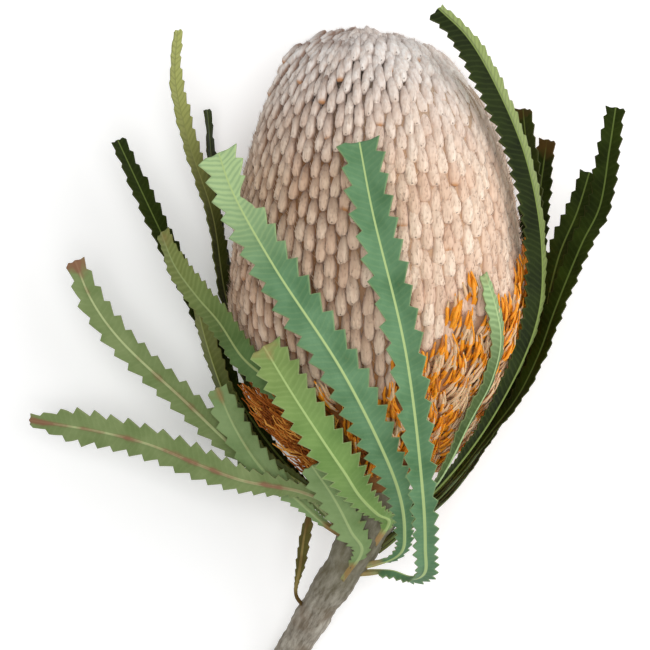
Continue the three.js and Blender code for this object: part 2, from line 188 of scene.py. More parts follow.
# Fur over wood: matt, mottled where the hairs clump about 2 mm apart, painted light down the right side,
# grey under the crown and stained orange among the open florets. Places in a material are in metres.
WHOLE = (0.0, 1.0)  # the limits of a value that is a share itself
brown_fur, tree = new_material("brown_fur_over_wood")
place = add(tree, "ShaderNodeTexCoord", output="Object")
sideways, height = (add(tree, "ShaderNodeSeparateXYZ", {0: place}, output=axis) for axis in "XY")
clumps = add(tree, "ShaderNodeTexNoise", {"Vector": place, "Scale": MM_PER_METRE / 2.0, "Detail": 5.0})
fur = layered(
    tree,
    "#5e3f26",
    (clumps, WHOLE, WHOLE, "#9a7250"),  # clumps
    (sideways, (-0.015, 0.02), (0.0, 0.8), "#d4b090"),  # painted light down the right side
    (height, (0.04, 0.07), (0.0, 0.8), "#a09284"),  # grey
    (height, (-0.012, -0.03), (0.0, 0.7), "#a0642a"),  # stained
)
nap = add(tree, "ShaderNodeBump", {"Strength": 0.8, "Distance": 0.0005, "Height": clumps})
surface = add(
    tree,
    "ShaderNodeBsdfPrincipled",
    {"Base Color": fur, "Roughness": 0.95, "Normal": nap, "Specular IOR Level": 0.2},
)
add(tree, "ShaderNodeOutputMaterial", {"Surface": surface})

points, faces, _, _ = sweep(core_route, sunk[:, 0], sunk[:, 0], CORE_SIDES, (0, 0, 1))
points[:, 2] = np.maximum(points[:, 2], CORE_LOWEST)
core = new_piece("spike_core", points, faces, brown_fur)
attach(core, "root")


# The closed florets: felted buds, each a blunt finger that lies along the spike in an upright column,
# half a bud out of step with the columns beside it, its lower end proud over the next one like a roof
# tile. Over the tip they crowd together in a spiral.
CLOSED_LENGTH = 9.8
CLOSED_HALF_WIDTH = 2.2
CLOSED_HALF_HEIGHT = 1.5
CLOSED_SIDES = 8
COLUMNS = 76
COLUMN_WIDTH = 3.8
ROWS = 19
FIRST_ROW_ALONG = 30.0  # from the tip of the spike, along its outline
ROW_PITCH = 7.8
CROWN_FLORETS = 190
CROWN_WIDTH = 0.95  # shares of a bud's own width and length
CROWN_LENGTH = 0.72
NARROWEST = 0.72  # the share of its width that a bud keeps where the columns close up
CROWDED = 1.7  # the width of a column where every second one ends
FOOT_Y = -60.0  # no floret grows below this
COLUMN_STRAY = 0.13  # how far florets stray either way, as shares of a column, a row, a width and a length
ROW_STRAY = 0.12
WIDTH_STRAY = 0.05
LENGTH_STRAY = 0.1
SINK_STRAY = 0.25  # in millimetres
LUMP_SIZE = 11.0  # across one of the low swellings of the crown
LUMP_LEVEL = 0.43  # the value of their noise that is neither raised nor sunk
LUMPS_FADE = (28.0, 52.0)  # from the tip along the outline, as are the next two
CROWN_SINKS_TO = 45.0
CROWN_LEANS_TO = 42.0
LEFT_FIT_X = (-22.0, 12.0)  # where buds are as slim as on the left, and where they are full
WOBBLE_SIZE = 2.6  # across one dent or swelling of a bud

# One bud along +Y with its outer side towards +Z: rings of distance, half-width share and rise.
CLOSED_RINGS = (
    (0.0, 0.38, 0.0),
    (0.05, 0.74, 0.0),
    (0.16, 0.97, 0.05),
    (0.36, 1.0, 0.1),
    (0.6, 0.9, 0.1),
    (0.82, 0.7, 0.0),
    (1.0, 0.34, -0.1),
)


def new_pattern(name, parts):
    """Makes the one shape that a tree repeats, from swept parts, each with its own share of a colour."""
    gathered, faces, reach, flank, part_shares = [], [], [], [], []
    count = 0
    for (points, part_faces, shares, flanks), colour in parts:
        faces += [tuple(corner + count for corner in face) for face in part_faces]
        gathered.append(points)
        reach.append(shares)
        flank.append(flanks)
        part_shares.append(np.full(len(points), colour))
        count += len(points)
    shape = new_piece(name, np.vstack(gathered) / METRES, faces)
    for attribute, values in (("reach", reach), ("flank", flank), ("part", part_shares)):
        stored = shape.data.attributes.new(attribute, "FLOAT", "POINT")
        stored.data.foreach_set("value", np.concatenate(values))
    return shape


rings = np.array(CLOSED_RINGS)
bud_route = np.column_stack([np.zeros(len(rings)), rings[:, 0] * CLOSED_LENGTH, rings[:, 2]])
bud_widths = rings[:, 1] * CLOSED_HALF_WIDTH
bud_heights = rings[:, 1] * CLOSED_HALF_HEIGHT
bud = new_pattern("closed_bud", [(sweep(bud_route, bud_widths, bud_heights, CLOSED_SIDES, (0, 0, 1)), 0.0)])

outline_curve = bpy.data.curves.new("spike_outline", "CURVE")
outline_curve.dimensions = "3D"
spline = outline_curve.splines.new("POLY")
spline.points.add(len(outline) - 1)
guide_points = np.column_stack([outline, np.zeros(len(outline)), np.ones(len(outline))])
spline.points.foreach_set("co", guide_points.ravel())
outline_guide = bpy.data.objects.new("spike_outline", outline_curve)
bpy.context.scene.collection.objects.link(outline_guide)


def new_tree(name, inputs):
    """Starts a tree with named inputs, given by kind. Gives it, the inputs' identifiers and their sockets."""
    tree = bpy.data.node_groups.new(name, "GeometryNodeTree")
    identifiers = {}
    for kind, input_names in inputs.items():
        for input_name in input_names:
            socket = tree.interface.new_socket(input_name, in_out="INPUT", socket_type="NodeSocket" + kind)
            identifiers[input_name] = socket.identifier
    tree.interface.new_socket("Geometry", in_out="OUTPUT", socket_type="NodeSocketGeometry")
    return tree, identifiers, tree.nodes.new("NodeGroupInput").outputs


# The tree lays the places out in columns, turns each one about the spike, and sets a floret on those
# whose flowering lies between two limits. Flowering starts at the foot and is furthest on at the right.
floret_tree, floret_inputs, given = new_tree(
    "florets_in_columns",
    {
        "Geometry": ("Geometry",),
        "Object": ("Outline", "Floret"),
        "Material": ("Finish",),
        "Int": ("Columns", "Rows", "Crown Florets", "Seed"),
        "Float": (
            *("Column Width", "First Row", "Row Pitch", "Axis Height", "Sink", "Lean", "Lean Spread"),
            *("Crown Lean", "Crown Sink", "Crown Lumps", "Swing Spread", "Left Fit", "Wobble"),
            *("Flowering From", "Flowering To", "Freshness From", "Freshness To"),
        ),
    },
)
tree = floret_tree
above = {"data_type": "FLOAT", "operation": "GREATER_THAN"}
below = {"data_type": "FLOAT", "operation": "LESS_THAN"}
place = add(tree, "GeometryNodeInputIndex")
in_columns = add(tree, "ShaderNodeMath", {0: given["Columns"], 1: given["Rows"]}, operation="MULTIPLY")
total = add(tree, "ShaderNodeMath", {0: in_columns, 1: given["Crown Florets"]}, operation="ADD")
places = add(tree, "GeometryNodePoints", {"Count": total})

# Fixed random numbers from -1 to 1 for each place, one for each thing that varies.
chance = []
for step in range(7):
    seed = add(tree, "ShaderNodeMath", {0: given["Seed"], 1: float(step)}, operation="ADD")
    limits = {2: -1.0, 3: 1.0, 8: seed}
    chance.append(add(tree, "FunctionNodeRandomValue", limits, output=1, data_type="FLOAT"))

column = add(tree, "ShaderNodeMath", {0: place, 1: given["Rows"]}, operation="DIVIDE")
column = add(tree, "ShaderNodeMath", {0: column}, operation="FLOOR")
row = add(tree, "ShaderNodeMath", {0: place, 1: given["Rows"]}, operation="MODULO")
odd = add(tree, "ShaderNodeMath", {0: column, 1: 2.0}, operation="MODULO")
column_place = {0: chance[0], 1: COLUMN_STRAY, 2: column}
column_place = add(tree, "ShaderNodeMath", column_place, operation="MULTIPLY_ADD")
step_turn = add(tree, "ShaderNodeMath", {0: 2 * math.pi, 1: given["Columns"]}, operation="DIVIDE")
column_turn = add(tree, "ShaderNodeMath", {0: column_place, 1: step_turn}, operation="MULTIPLY")
row_place = add(tree, "ShaderNodeMath", {0: odd, 1: 0.5, 2: row}, operation="MULTIPLY_ADD")
row_place = add(tree, "ShaderNodeMath", {0: chance[1], 1: ROW_STRAY, 2: row_place}, operation="MULTIPLY_ADD")
row_along = {0: row_place, 1: given["Row Pitch"], 2: given["First Row"]}
row_along = add(tree, "ShaderNodeMath", row_along, operation="MULTIPLY_ADD")

# The crown's spiral: each floret a golden angle on from the last, at even spacing over the tip.
GOLDEN_ANGLE = math.pi * (3 - math.sqrt(5))
on_crown = add(tree, "ShaderNodeMath", {0: place, 1: in_columns}, operation="SUBTRACT")
crown_turn = add(tree, "ShaderNodeMath", {0: on_crown, 1: GOLDEN_ANGLE}, operation="MULTIPLY")
crown_share = add(tree, "ShaderNodeMath", {0: on_crown, 1: 0.5}, operation="ADD")
crown_share = add(tree, "ShaderNodeMath", {0: crown_share, 1: given["Crown Florets"]}, operation="DIVIDE")
crown_share = add(tree, "ShaderNodeMath", {0: crown_share}, operation="SQRT")
crown_along = add(tree, "ShaderNodeMath", {0: crown_share, 1: given["First Row"]}, operation="MULTIPLY")
is_crown = add(tree, "FunctionNodeCompare", {0: on_crown, 1: -0.5}, **above)
turn = add(tree, "GeometryNodeSwitch", {0: is_crown, 1: column_turn, 2: crown_turn}, input_type="FLOAT")
along = add(tree, "GeometryNodeSwitch", {0: is_crown, 1: row_along, 2: crown_along}, input_type="FLOAT")

# Where the place is on the outline, turned about the spike's axis: its point, its outward direction and
# its direction towards the tip.
outline_shape = add(tree, "GeometryNodeObjectInfo", {"Object": given["Outline"]}, output="Geometry")
sample = {"mode": "LENGTH", "use_all_curves": True, "data_type": "FLOAT"}
on_outline = {"Curves": outline_shape, "Length": along}
outline_point = add(tree, "GeometryNodeSampleCurve", on_outline, output="Position", **sample)
outline_way = add(tree, "GeometryNodeSampleCurve", on_outline, output="Tangent", **sample)
radius, along_axis = (add(tree, "ShaderNodeSeparateXYZ", {0: outline_point}, output=axis) for axis in "XY")
way_out, way_down = (add(tree, "ShaderNodeSeparateXYZ", {0: outline_way}, output=axis) for axis in "XY")
way_up = add(tree, "ShaderNodeMath", {0: way_down, 1: -1.0}, operation="MULTIPLY")
way_in = add(tree, "ShaderNodeMath", {0: way_out, 1: -1.0}, operation="MULTIPLY")
flat_point = add(tree, "ShaderNodeCombineXYZ", {"Y": along_axis, "Z": radius})
flat_out = add(tree, "ShaderNodeCombineXYZ", {"Y": way_out, "Z": way_up})
flat_up = add(tree, "ShaderNodeCombineXYZ", {"Y": way_up, "Z": way_in})
spun_point, outward, tipward = (
    add(tree, "ShaderNodeVectorRotate", {"Vector": flat, "Angle": turn}, rotation_type="Y_AXIS")
    for flat in (flat_point, flat_out, flat_up)
)
lean_over = {"Value": along_axis, 1: SPIKE_LEAN_FROM_Y, 2: SPIKE_TIP_Y, 3: 0.0, 4: SPIKE_LEAN}
lean_over = add(tree, "ShaderNodeMapRange", lean_over, interpolation_type="SMOOTHSTEP")
axis_shift = add(tree, "ShaderNodeCombineXYZ", {"X": lean_over, "Z": given["Axis Height"]})
spike_point = add(tree, "ShaderNodeVectorMath", {0: spun_point, 1: axis_shift}, operation="ADD")

# How far it is sunk: all the same, but for strays, for the crown, which stands deep, and for the low
# swellings that rise and fall over the crown.
sink = add(tree, "ShaderNodeMath", {0: given["Sink"], 1: -1.0}, operation="MULTIPLY")
sink = add(tree, "ShaderNodeMath", {0: chance[6], 1: SINK_STRAY, 2: sink}, operation="MULTIPLY_ADD")
lumps = add(tree, "ShaderNodeTexNoise", {"Vector": spike_point, "Scale": 1 / LUMP_SIZE, "Detail": 1.0})
lumps = add(tree, "ShaderNodeMath", {0: lumps, 1: LUMP_LEVEL}, operation="SUBTRACT")
crown_sink = {"Value": along, 1: 0.0, 2: CROWN_SINKS_TO, 3: given["Crown Sink"], 4: 0.0}
crown_sink = add(tree, "ShaderNodeMapRange", crown_sink)
sink = add(tree, "ShaderNodeMath", {0: sink, 1: crown_sink}, operation="SUBTRACT")
lumpy = {"Value": along, 1: LUMPS_FADE[0], 2: LUMPS_FADE[1], 3: given["Crown Lumps"], 4: 0.0}
lumpy = add(tree, "ShaderNodeMapRange", lumpy)
sink = add(tree, "ShaderNodeMath", {0: lumps, 1: lumpy, 2: sink}, operation="MULTIPLY_ADD")
sunken = add(tree, "ShaderNodeVectorMath", {0: outward, "Scale": sink}, operation="SCALE")
spike_point = add(tree, "ShaderNodeVectorMath", {0: spike_point, 1: sunken}, operation="ADD")
standing = add(tree, "GeometryNodeSetPosition", {"Geometry": places, "Position": spike_point})

# A floret points to the tip, leans as its kind does and further out over the crown, and swings a little.
towards_crown = {"Value": along, 1: 0.0, 2: CROWN_LEANS_TO, 3: given["Crown Lean"], 4: 0.0}
towards_crown = add(tree, "ShaderNodeMapRange", towards_crown, interpolation_type="SMOOTHSTEP")
lean = {0: chance[2], 1: given["Lean Spread"], 2: given["Lean"]}
lean = add(tree, "ShaderNodeMath", lean, operation="MULTIPLY_ADD")
lean = add(tree, "ShaderNodeMath", {0: lean, 1: towards_crown}, operation="ADD")
lean_cosine = add(tree, "ShaderNodeMath", {0: lean}, operation="COSINE")
lean_sine = add(tree, "ShaderNodeMath", {0: lean}, operation="SINE")
upright = add(tree, "ShaderNodeVectorMath", {0: tipward, "Scale": lean_cosine}, operation="SCALE")
leaning = add(tree, "ShaderNodeVectorMath", {0: outward, "Scale": lean_sine}, operation="SCALE")
pointing = add(tree, "ShaderNodeVectorMath", {0: upright, 1: leaning}, operation="ADD")
swing = add(tree, "ShaderNodeMath", {0: chance[3], 1: given["Swing Spread"]}, operation="MULTIPLY")
pointing = {"Vector": pointing, "Axis": outward, "Angle": swing}
pointing = add(tree, "ShaderNodeVectorRotate", pointing, rotation_type="AXIS_ANGLE")
upwards = {"primary_axis": "Y", "secondary_axis": "Z"}
attitude = {"Primary Axis": pointing, "Secondary Axis": outward}
attitude = add(tree, "FunctionNodeAxesToRotation", attitude, **upwards)

# Florets narrow with the columns; where the columns run together near the foot, every second one ends.
girth = add(tree, "ShaderNodeMath", {0: radius, 1: step_turn}, operation="MULTIPLY")
fits = add(tree, "ShaderNodeMath", {0: girth, 1: given["Column Width"]}, operation="DIVIDE")
fits = add(tree, "ShaderNodeClamp", {"Value": fits, "Min": NARROWEST, "Max": 1.0})
fits = add(tree, "GeometryNodeSwitch", {0: is_crown, 1: fits, 2: CROWN_WIDTH}, input_type="FLOAT")
wider = add(tree, "ShaderNodeMath", {0: chance[3], 1: WIDTH_STRAY, 2: 1.0}, operation="MULTIPLY_ADD")
fits = add(tree, "ShaderNodeMath", {0: fits, 1: wider}, operation="MULTIPLY")
to_side = add(tree, "ShaderNodeSeparateXYZ", {0: spike_point}, output="X")
slimmer = {"Value": to_side, 1: LEFT_FIT_X[0], 2: LEFT_FIT_X[1], 3: given["Left Fit"], 4: 1.0}
slimmer = add(tree, "ShaderNodeMapRange", slimmer)
fits = add(tree, "ShaderNodeMath", {0: fits, 1: slimmer}, operation="MULTIPLY")
longer = add(tree, "ShaderNodeMath", {0: chance[4], 1: LENGTH_STRAY, 2: 1.0}, operation="MULTIPLY_ADD")
longer = add(tree, "GeometryNodeSwitch", {0: is_crown, 1: longer, 2: CROWN_LENGTH}, input_type="FLOAT")
size = add(tree, "ShaderNodeCombineXYZ", {"X": fits, "Y": longer, "Z": 1.0})
crowded = add(tree, "FunctionNodeCompare", {0: girth, 1: CROWDED}, **below)
is_odd = add(tree, "FunctionNodeCompare", {0: odd, 1: 0.5}, **above)
dropped = add(tree, "FunctionNodeBooleanMath", {0: crowded, 1: is_odd}, operation="AND")
below_crown = add(tree, "FunctionNodeBooleanMath", {0: is_crown}, operation="NOT")
dropped = add(tree, "FunctionNodeBooleanMath", {0: dropped, 1: below_crown}, operation="AND")
kept = add(tree, "FunctionNodeBooleanMath", {0: dropped}, operation="NOT")
before_foot = add(tree, "FunctionNodeCompare", {0: along_axis, 1: FOOT_Y}, **above)
kept = add(tree, "FunctionNodeBooleanMath", {0: kept, 1: before_foot}, operation="AND")

# Flowering: how far, in millimetres, a place is below the line that the opening has climbed to. The line
# is level round the left and climbs to the right, where it is more ragged. Freshness runs from -1 at the
# left to 1 at the right.
OPENING_Y = -35.0
OPENING_CLIMB = 37.0
OPENING_BEND = 0.85
RAGGED_LEFT = 3.5
RAGGED_RISE = 8.0  # more than that at the right
FRESHNESS_STRAY = 0.3
rightward = add(tree, "ShaderNodeMath", {0: turn}, operation="SINE")
to_right = add(tree, "ShaderNodeMath", {0: rightward, 1: 0.0}, operation="MAXIMUM")
climb = add(tree, "ShaderNodeMath", {0: to_right, 1: OPENING_BEND}, operation="POWER")
climbed = add(tree, "ShaderNodeMath", {0: climb, 1: OPENING_CLIMB, 2: OPENING_Y}, operation="MULTIPLY_ADD")
ragged = add(tree, "ShaderNodeMath", {0: climb, 1: RAGGED_RISE, 2: RAGGED_LEFT}, operation="MULTIPLY_ADD")
climbed = add(tree, "ShaderNodeMath", {0: chance[5], 1: ragged, 2: climbed}, operation="MULTIPLY_ADD")
flowering = add(tree, "ShaderNodeMath", {0: climbed, 1: along_axis}, operation="SUBTRACT")
freshness = {0: chance[4], 1: FRESHNESS_STRAY, 2: rightward}
freshness = add(tree, "ShaderNodeMath", freshness, operation="MULTIPLY_ADD")
for value, limit, operation in (
    (flowering, "Flowering From", "GREATER_EQUAL"),
    (flowering, "Flowering To", "LESS_THAN"),
    (freshness, "Freshness From", "GREATER_EQUAL"),
    (freshness, "Freshness To", "LESS_THAN"),
):
    compared = {"data_type": "FLOAT", "operation": operation}
    within = add(tree, "FunctionNodeCompare", {0: value, 1: given[limit]}, **compared)
    kept = add(tree, "FunctionNodeBooleanMath", {0: kept, 1: within}, operation="AND")

floret_shape = add(tree, "GeometryNodeObjectInfo", {"Object": given["Floret"]}, output="Geometry")
florets = {"Points": standing, "Selection": kept, "Instance": floret_shape}
florets = add(tree, "GeometryNodeInstanceOnPoints", {**florets, "Rotation": attitude, "Scale": size})
own_tint = {2: 0.0, 3: 1.0, 8: given["Seed"]}
own_tint = add(tree, "FunctionNodeRandomValue", own_tint, output=1, data_type="FLOAT")
tinted = {"Geometry": florets, "Name": "tint", "Value": own_tint}
florets = add(tree, "GeometryNodeStoreNamedAttribute", tinted, data_type="FLOAT", domain="INSTANCE")
florets = add(tree, "GeometryNodeRealizeInstances", {"Geometry": florets})

# No floret is quite regular, and the spike lies on those at its underside, which are pressed flat.
lying = add(tree, "GeometryNodeInputPosition")
wobble = {"Vector": lying, "Scale": 1 / WOBBLE_SIZE, "Detail": 1.0}
wobble = add(tree, "ShaderNodeTexNoise", wobble, output="Color")
wobble = add(tree, "ShaderNodeVectorMath", {0: wobble, 1: (0.5, 0.5, 0.5)}, operation="SUBTRACT")
wobble = add(tree, "ShaderNodeVectorMath", {0: wobble, "Scale": given["Wobble"]}, operation="SCALE")
florets = add(tree, "GeometryNodeSetPosition", {"Geometry": florets, "Offset": wobble})
level = add(tree, "ShaderNodeVectorMath", {0: lying, 1: (-1000.0, -1000.0, 0.0)}, operation="MAXIMUM")
florets = add(tree, "GeometryNodeSetPosition", {"Geometry": florets, "Position": level})
florets = add(tree, "GeometryNodeTransform", {"Geometry": florets, "Scale": (METRES, METRES, METRES)})
florets = add(tree, "GeometryNodeSetShadeSmooth", {"Geometry": florets})
florets = add(tree, "GeometryNodeSetMaterial", {"Geometry": florets, "Material": given["Finish"]})
add(tree, "NodeGroupOutput", {"Geometry": florets})


def grown(name, mesh, group, inputs, sizes):
    """Runs a tree on a mesh with these sizes and gives its result as a plain piece."""
    host = bpy.data.objects.new(name, mesh)
    bpy.context.scene.collection.objects.link(host)
    modifier = host.modifiers.new(name, "NODES")
    modifier.node_group = group
    for size_name, value in sizes.items():
        modifier[inputs[size_name]] = value
    made = bpy.data.meshes.new_from_object(host.evaluated_get(bpy.context.evaluated_depsgraph_get()))
    host.modifiers.remove(modifier)
    host.data = made
    made.name = name
    return host


def florets_on_spike(name, **sizes):
    shared = {
        "Outline": outline_guide,
        "Columns": COLUMNS,
        "Column Width": COLUMN_WIDTH,
        "Rows": ROWS,
        "First Row": FIRST_ROW_ALONG,
        "Row Pitch": ROW_PITCH,
        "Crown Florets": CROWN_FLORETS,
        "Axis Height": SPIKE_AXIS_Z,
        "Seed": 11,
    }
    return grown(name, bpy.data.meshes.new(name), floret_tree, floret_inputs, {**shared, **sizes})


# Felt of short silky hairs combed lengthways: no gloss, painted shade in brown along the flanks, where a
# bud is tucked under the next and between the hairs, a dark dot near its lower end, a few orange stains,
# painted shade over the left side, greyer over the crown. The nap is drawn 1 mm wide so that it shows.
silky_felt, tree = new_material("silky_felt_of_closed_buds")
place = add(tree, "ShaderNodeTexCoord", output="Object")
sideways, height = (add(tree, "ShaderNodeSeparateXYZ", {0: place}, output=axis) for axis in "XY")
reach, flank, tint = (
    add(tree, "ShaderNodeAttribute", output="Fac", attribute_name=name) for name in ("reach", "flank", "tint")
)
combed = add(tree, "ShaderNodeVectorMath", {0: place, 1: (1.0, 0.22, 1.0)}, operation="MULTIPLY")
nap = add(tree, "ShaderNodeTexNoise", {"Vector": combed, "Scale": MM_PER_METRE / 1.0, "Detail": 3.0})
patches = add(tree, "ShaderNodeTexNoise", {"Vector": place, "Scale": MM_PER_METRE / 18.0, "Detail": 2.0})
# How strongly the painted shade of the flanks and of the tucked ends shows: more towards the left side.
shade_towards_left = add(tree, "ShaderNodeMapRange", {"Value": sideways, 1: 0.015, 2: -0.02, 3: 0.15, 4: 0.8})
stained = add(tree, "ShaderNodeMath", {0: tint, 1: 0.93}, operation="GREATER_THAN")
dotted = add(tree, "ShaderNodeMath", {0: tint, 1: 0.6}, operation="LESS_THAN")
on_bud = add(tree, "ShaderNodeCombineXYZ", {"X": reach, "Y": flank})
on_bud = add(tree, "ShaderNodeVectorMath", {0: on_bud, 1: (17.0, 10.0, 0.0)}, operation="MULTIPLY")
from_dot = {0: on_bud, 1: (2.4, 0.0, 0.0)}
from_dot = add(tree, "ShaderNodeVectorMath", from_dot, output="Value", operation="DISTANCE")
hue = layered(
    tree,
    "#fbe6d0",
    (tint, WHOLE, WHOLE, "#e6c4aa"),  # each bud its own
    (sideways, (0.012, -0.03), (0.0, 0.48), "#bc9a78"),  # painted shade down the left side
    (height, (0.035, 0.078), (0.0, 0.9), "#ebebea"),  # greyer over the crown
    (patches, (0.45, 0.75), (0.0, 0.35), "#d0b096"),  # in patches about 18 mm across
    (nap, (0.34, 0.62), (0.38, 0.0), "#bd9a80"),  # painted shade between the hairs
    (flank, (0.3, 0.9), (0.0, 1.0), "#80573a", shade_towards_left),  # painted shade along the flanks, where buds meet
    (reach, (0.1, 0.3), (0.8, 0.0), "#b5742c", stained),  # the stain on a few
    (from_dot, (0.5, 1.2), (0.75, 0.0), "#4a3120", dotted),  # the dot on most
    (reach, (0.45, 0.92), (0.0, 1.1), "#6e4626", shade_towards_left),  # painted shade under the next bud
)
woolly = add(tree, "ShaderNodeBump", {"Strength": 0.8, "Distance": 0.0008, "Height": nap})
surface = add(
    tree,
    "ShaderNodeBsdfPrincipled",
    {
        "Base Color": hue,
        "Roughness": 0.9,
        "Specular IOR Level": 0.2,
        "Sheen Weight": 0.25,
        "Sheen Roughness": 0.6,
        "Normal": woolly,
    },
)
add(tree, "ShaderNodeOutputMaterial", {"Surface": surface})

closed = florets_on_spike(
    "closed_florets_felted",
    **{
        "Floret": bud,
        "Finish": silky_felt,
        "Sink": 1.1,
        "Lean": math.radians(-5),
        "Lean Spread": math.radians(3),
        "Crown Lean": math.radians(24),
        "Crown Sink": 3.2,
        "Crown Lumps": 9.0,
        "Swing Spread": math.radians(4),
        "Left Fit": 0.84,
        "Wobble": 1.3,
        "Flowering From": -1000.0,
        "Flowering To": 0.0,
        "Freshness From": -10.0,
        "Freshness To": 10.0,
    },
)
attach(closed, "root")
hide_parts("closed_florets")
bpy.data.objects.remove(bud)


# The down on the closed florets: silky hairs that lie towards the tip, shortest over the crown, and blur
# the edges of the buds. Each is a three-sided spike rooted in the felt, and takes its colour there.
HAIR_LENGTH = 2.2
HAIR_RADIUS = 0.11
HAIRS_PER_SQUARE_MM = 0.55

foot = [(HAIR_RADIUS * math.cos(turn), 0, HAIR_RADIUS * math.sin(turn)) for turn in (0.5, 2.6, 4.7)]
hair = new_piece("hair", [*foot, (0, HAIR_LENGTH, 0.15)], [(0, 1, 2), (0, 3, 1), (1, 3, 2), (2, 3, 0)])

hair_tree, hair_inputs, given = new_tree(
    "down_over_buds",
    {
        "Geometry": ("Geometry",),
        "Object": ("Hair",),
        "Material": ("Finish",),
        "Float": ("Density", "Rise", "Spread", "Crown Length"),
        "Int": ("Seed",),
    },
)
tree = hair_tree
flank = add(tree, "GeometryNodeInputNamedAttribute", {"Name": "flank"}, data_type="FLOAT")
outer = add(tree, "FunctionNodeCompare", {0: flank, 1: 0.6}, **below)
rooted = tree.nodes.new("GeometryNodeDistributePointsOnFaces")
for name, source in (
    ("Mesh", given["Geometry"]),
    ("Selection", outer),
    ("Density", given["Density"]),
    ("Seed", given["Seed"]),
):
    tree.links.new(source, rooted.inputs[name])
normal = rooted.outputs["Normal"]
rising = add(tree, "ShaderNodeVectorMath", {0: normal, "Scale": given["Rise"]}, operation="SCALE")
stray = {0: (-1.0, -1.0, -1.0), 1: (1.0, 1.0, 1.0), 8: given["Seed"]}
stray = add(tree, "FunctionNodeRandomValue", stray, data_type="FLOAT_VECTOR")
stray = add(tree, "ShaderNodeVectorMath", {0: stray, "Scale": given["Spread"]}, operation="SCALE")
lying = add(tree, "ShaderNodeVectorMath", {0: rising, 1: stray}, operation="ADD")
lying = add(tree, "ShaderNodeVectorMath", {0: lying, 1: (0.0, 1.0, 0.0)}, operation="ADD")
attitude = {"Primary Axis": lying, "Secondary Axis": normal}
attitude = add(tree, "FunctionNodeAxesToRotation", attitude, **upwards)
spot = add(tree, "GeometryNodeInputPosition")
height = add(tree, "ShaderNodeSeparateXYZ", {0: spot}, output="Y")
shorter = {"Value": height, 1: 0.04, 2: 0.075, 3: 1.0, 4: given["Crown Length"]}
shorter = add(tree, "ShaderNodeMapRange", shorter)
hair_shape = add(tree, "GeometryNodeObjectInfo", {"Object": given["Hair"]}, output="Geometry")
hairs = {"Points": rooted.outputs["Points"], "Instance": hair_shape, "Rotation": attitude, "Scale": shorter}
hairs = add(tree, "GeometryNodeInstanceOnPoints", hairs)
hairs = add(tree, "GeometryNodeRealizeInstances", {"Geometry": hairs})
level = add(tree, "ShaderNodeVectorMath", {0: spot, 1: (-1.0, -1.0, 0.0)}, operation="MAXIMUM")
hairs = add(tree, "GeometryNodeSetPosition", {"Geometry": hairs, "Position": level})
hairs = add(tree, "GeometryNodeSetMaterial", {"Geometry": hairs, "Material": given["Finish"]})
add(tree, "NodeGroupOutput", {"Geometry": hairs})

down = grown(
    "closed_florets_down",
    closed.data.copy(),
    hair_tree,
    hair_inputs,
    {
        "Hair": hair,
        "Finish": silky_felt,
        "Density": HAIRS_PER_SQUARE_MM / METRES**2,
        "Rise": 0.4,
        "Spread": 0.3,
        "Crown Length": 0.5,
        "Seed": 3,
    },
)
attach(down, "root")
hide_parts("closed_florets")
bpy.data.objects.remove(hair)


# The open florets round the foot: each bud has split into slender lobes, orange, brown or still cream,
# which lie along the spike, with a wiry style standing out of them. On the left they are spent, and only
# rust-brown wires are left, swept along the spike.
LOBE_HALF_WIDTH = 0.85
LOBE_HALF_HEIGHT = 0.45
WIRE_RADIUS = 0.32

# Each lobe as where it starts, where it ends, how far it arches outwards and how far it bows sideways.
LOBES = (
    ((-1.5, -0.5, 0.2), (-2.3, 8.6, 1.2), 1.5, -0.4),
    ((-0.8, 0.6, 0.6), (-0.9, 11.0, 2.0), 1.2, 0.6),
    ((-0.1, -1.6, 0.8), (0.4, 9.6, 2.8), 1.9, -0.6),
    ((0.6, 0.3, 0.5), (0.7, 10.4, 1.4), 1.7, 0.6),
    ((1.4, -0.3, 0.1), (2.4, 9.0, 1.0), 1.5, -0.4),
    ((0.4, -3.2, 0.5), (-0.9, 6.4, 2.4), 1.2, 0.8),
)
STYLE_POINTS = (
    (0.1, 0.4, 0.8),
    (0.4, 2.8, 2.9),
    (0.7, 5.6, 3.9),
    (0.5, 8.6, 3.6),
    (0.0, 11.2, 2.8),
    (-0.2, 12.0, 2.7),
)
share = np.linspace(0, 1, 5)
lobe_shape = np.array([0.45, 0.9, 1.0, 0.85, 0.25])
fresh_parts = []
for number, (start, end, arch, bow) in enumerate(LOBES):
    lobe_route = np.outer(1 - share, start) + np.outer(share, end)
    lobe_route += np.outer(np.sin(share * math.pi), (bow, 0, arch))
    lobe = sweep(lobe_route, lobe_shape * LOBE_HALF_WIDTH, lobe_shape * LOBE_HALF_HEIGHT, 4, (0, 0, 1))
    fresh_parts.append((lobe, number * 0.16))
style_shape = WIRE_RADIUS * np.array([1.0, 0.9, 0.8, 0.8, 1.3, 0.5])
fresh_parts.append((sweep(STYLE_POINTS, style_shape, style_shape, 4, (0, 0, 1)), 0.9))
fresh = new_pattern("fresh_floret", fresh_parts)

# Each wire as how far to the side it starts, how high it rises and how long it is.
WIRES = (
    (-1.5, 3.6, 10.0),
    (-0.8, 2.2, 13.0),
    (-0.2, 4.6, 11.5),
    (0.5, 2.9, 14.0),
    (1.1, 3.9, 10.5),
    (1.7, 1.8, 12.0),
)
share = np.array([0.0, 0.25, 0.5, 0.78, 1.0])
wire_shape = WIRE_RADIUS * np.array([1.0, 1.0, 0.9, 0.8, 0.5])
spent_parts = []
for side, rise, length in WIRES:
    wander = side * (0.5 + share * 0.9) + 0.7 * np.sin(share * 5 + side * 3)
    wire_route = np.column_stack([wander, share * length, rise * np.sin(share * 2.5) + 0.3])
    wire = sweep(wire_route, wire_shape, wire_shape, 4, (0, 0, 1))
    spent_parts.append((wire, 0.3 + 0.2 * abs(side)))
spent = new_pattern("spent_floret", spent_parts)

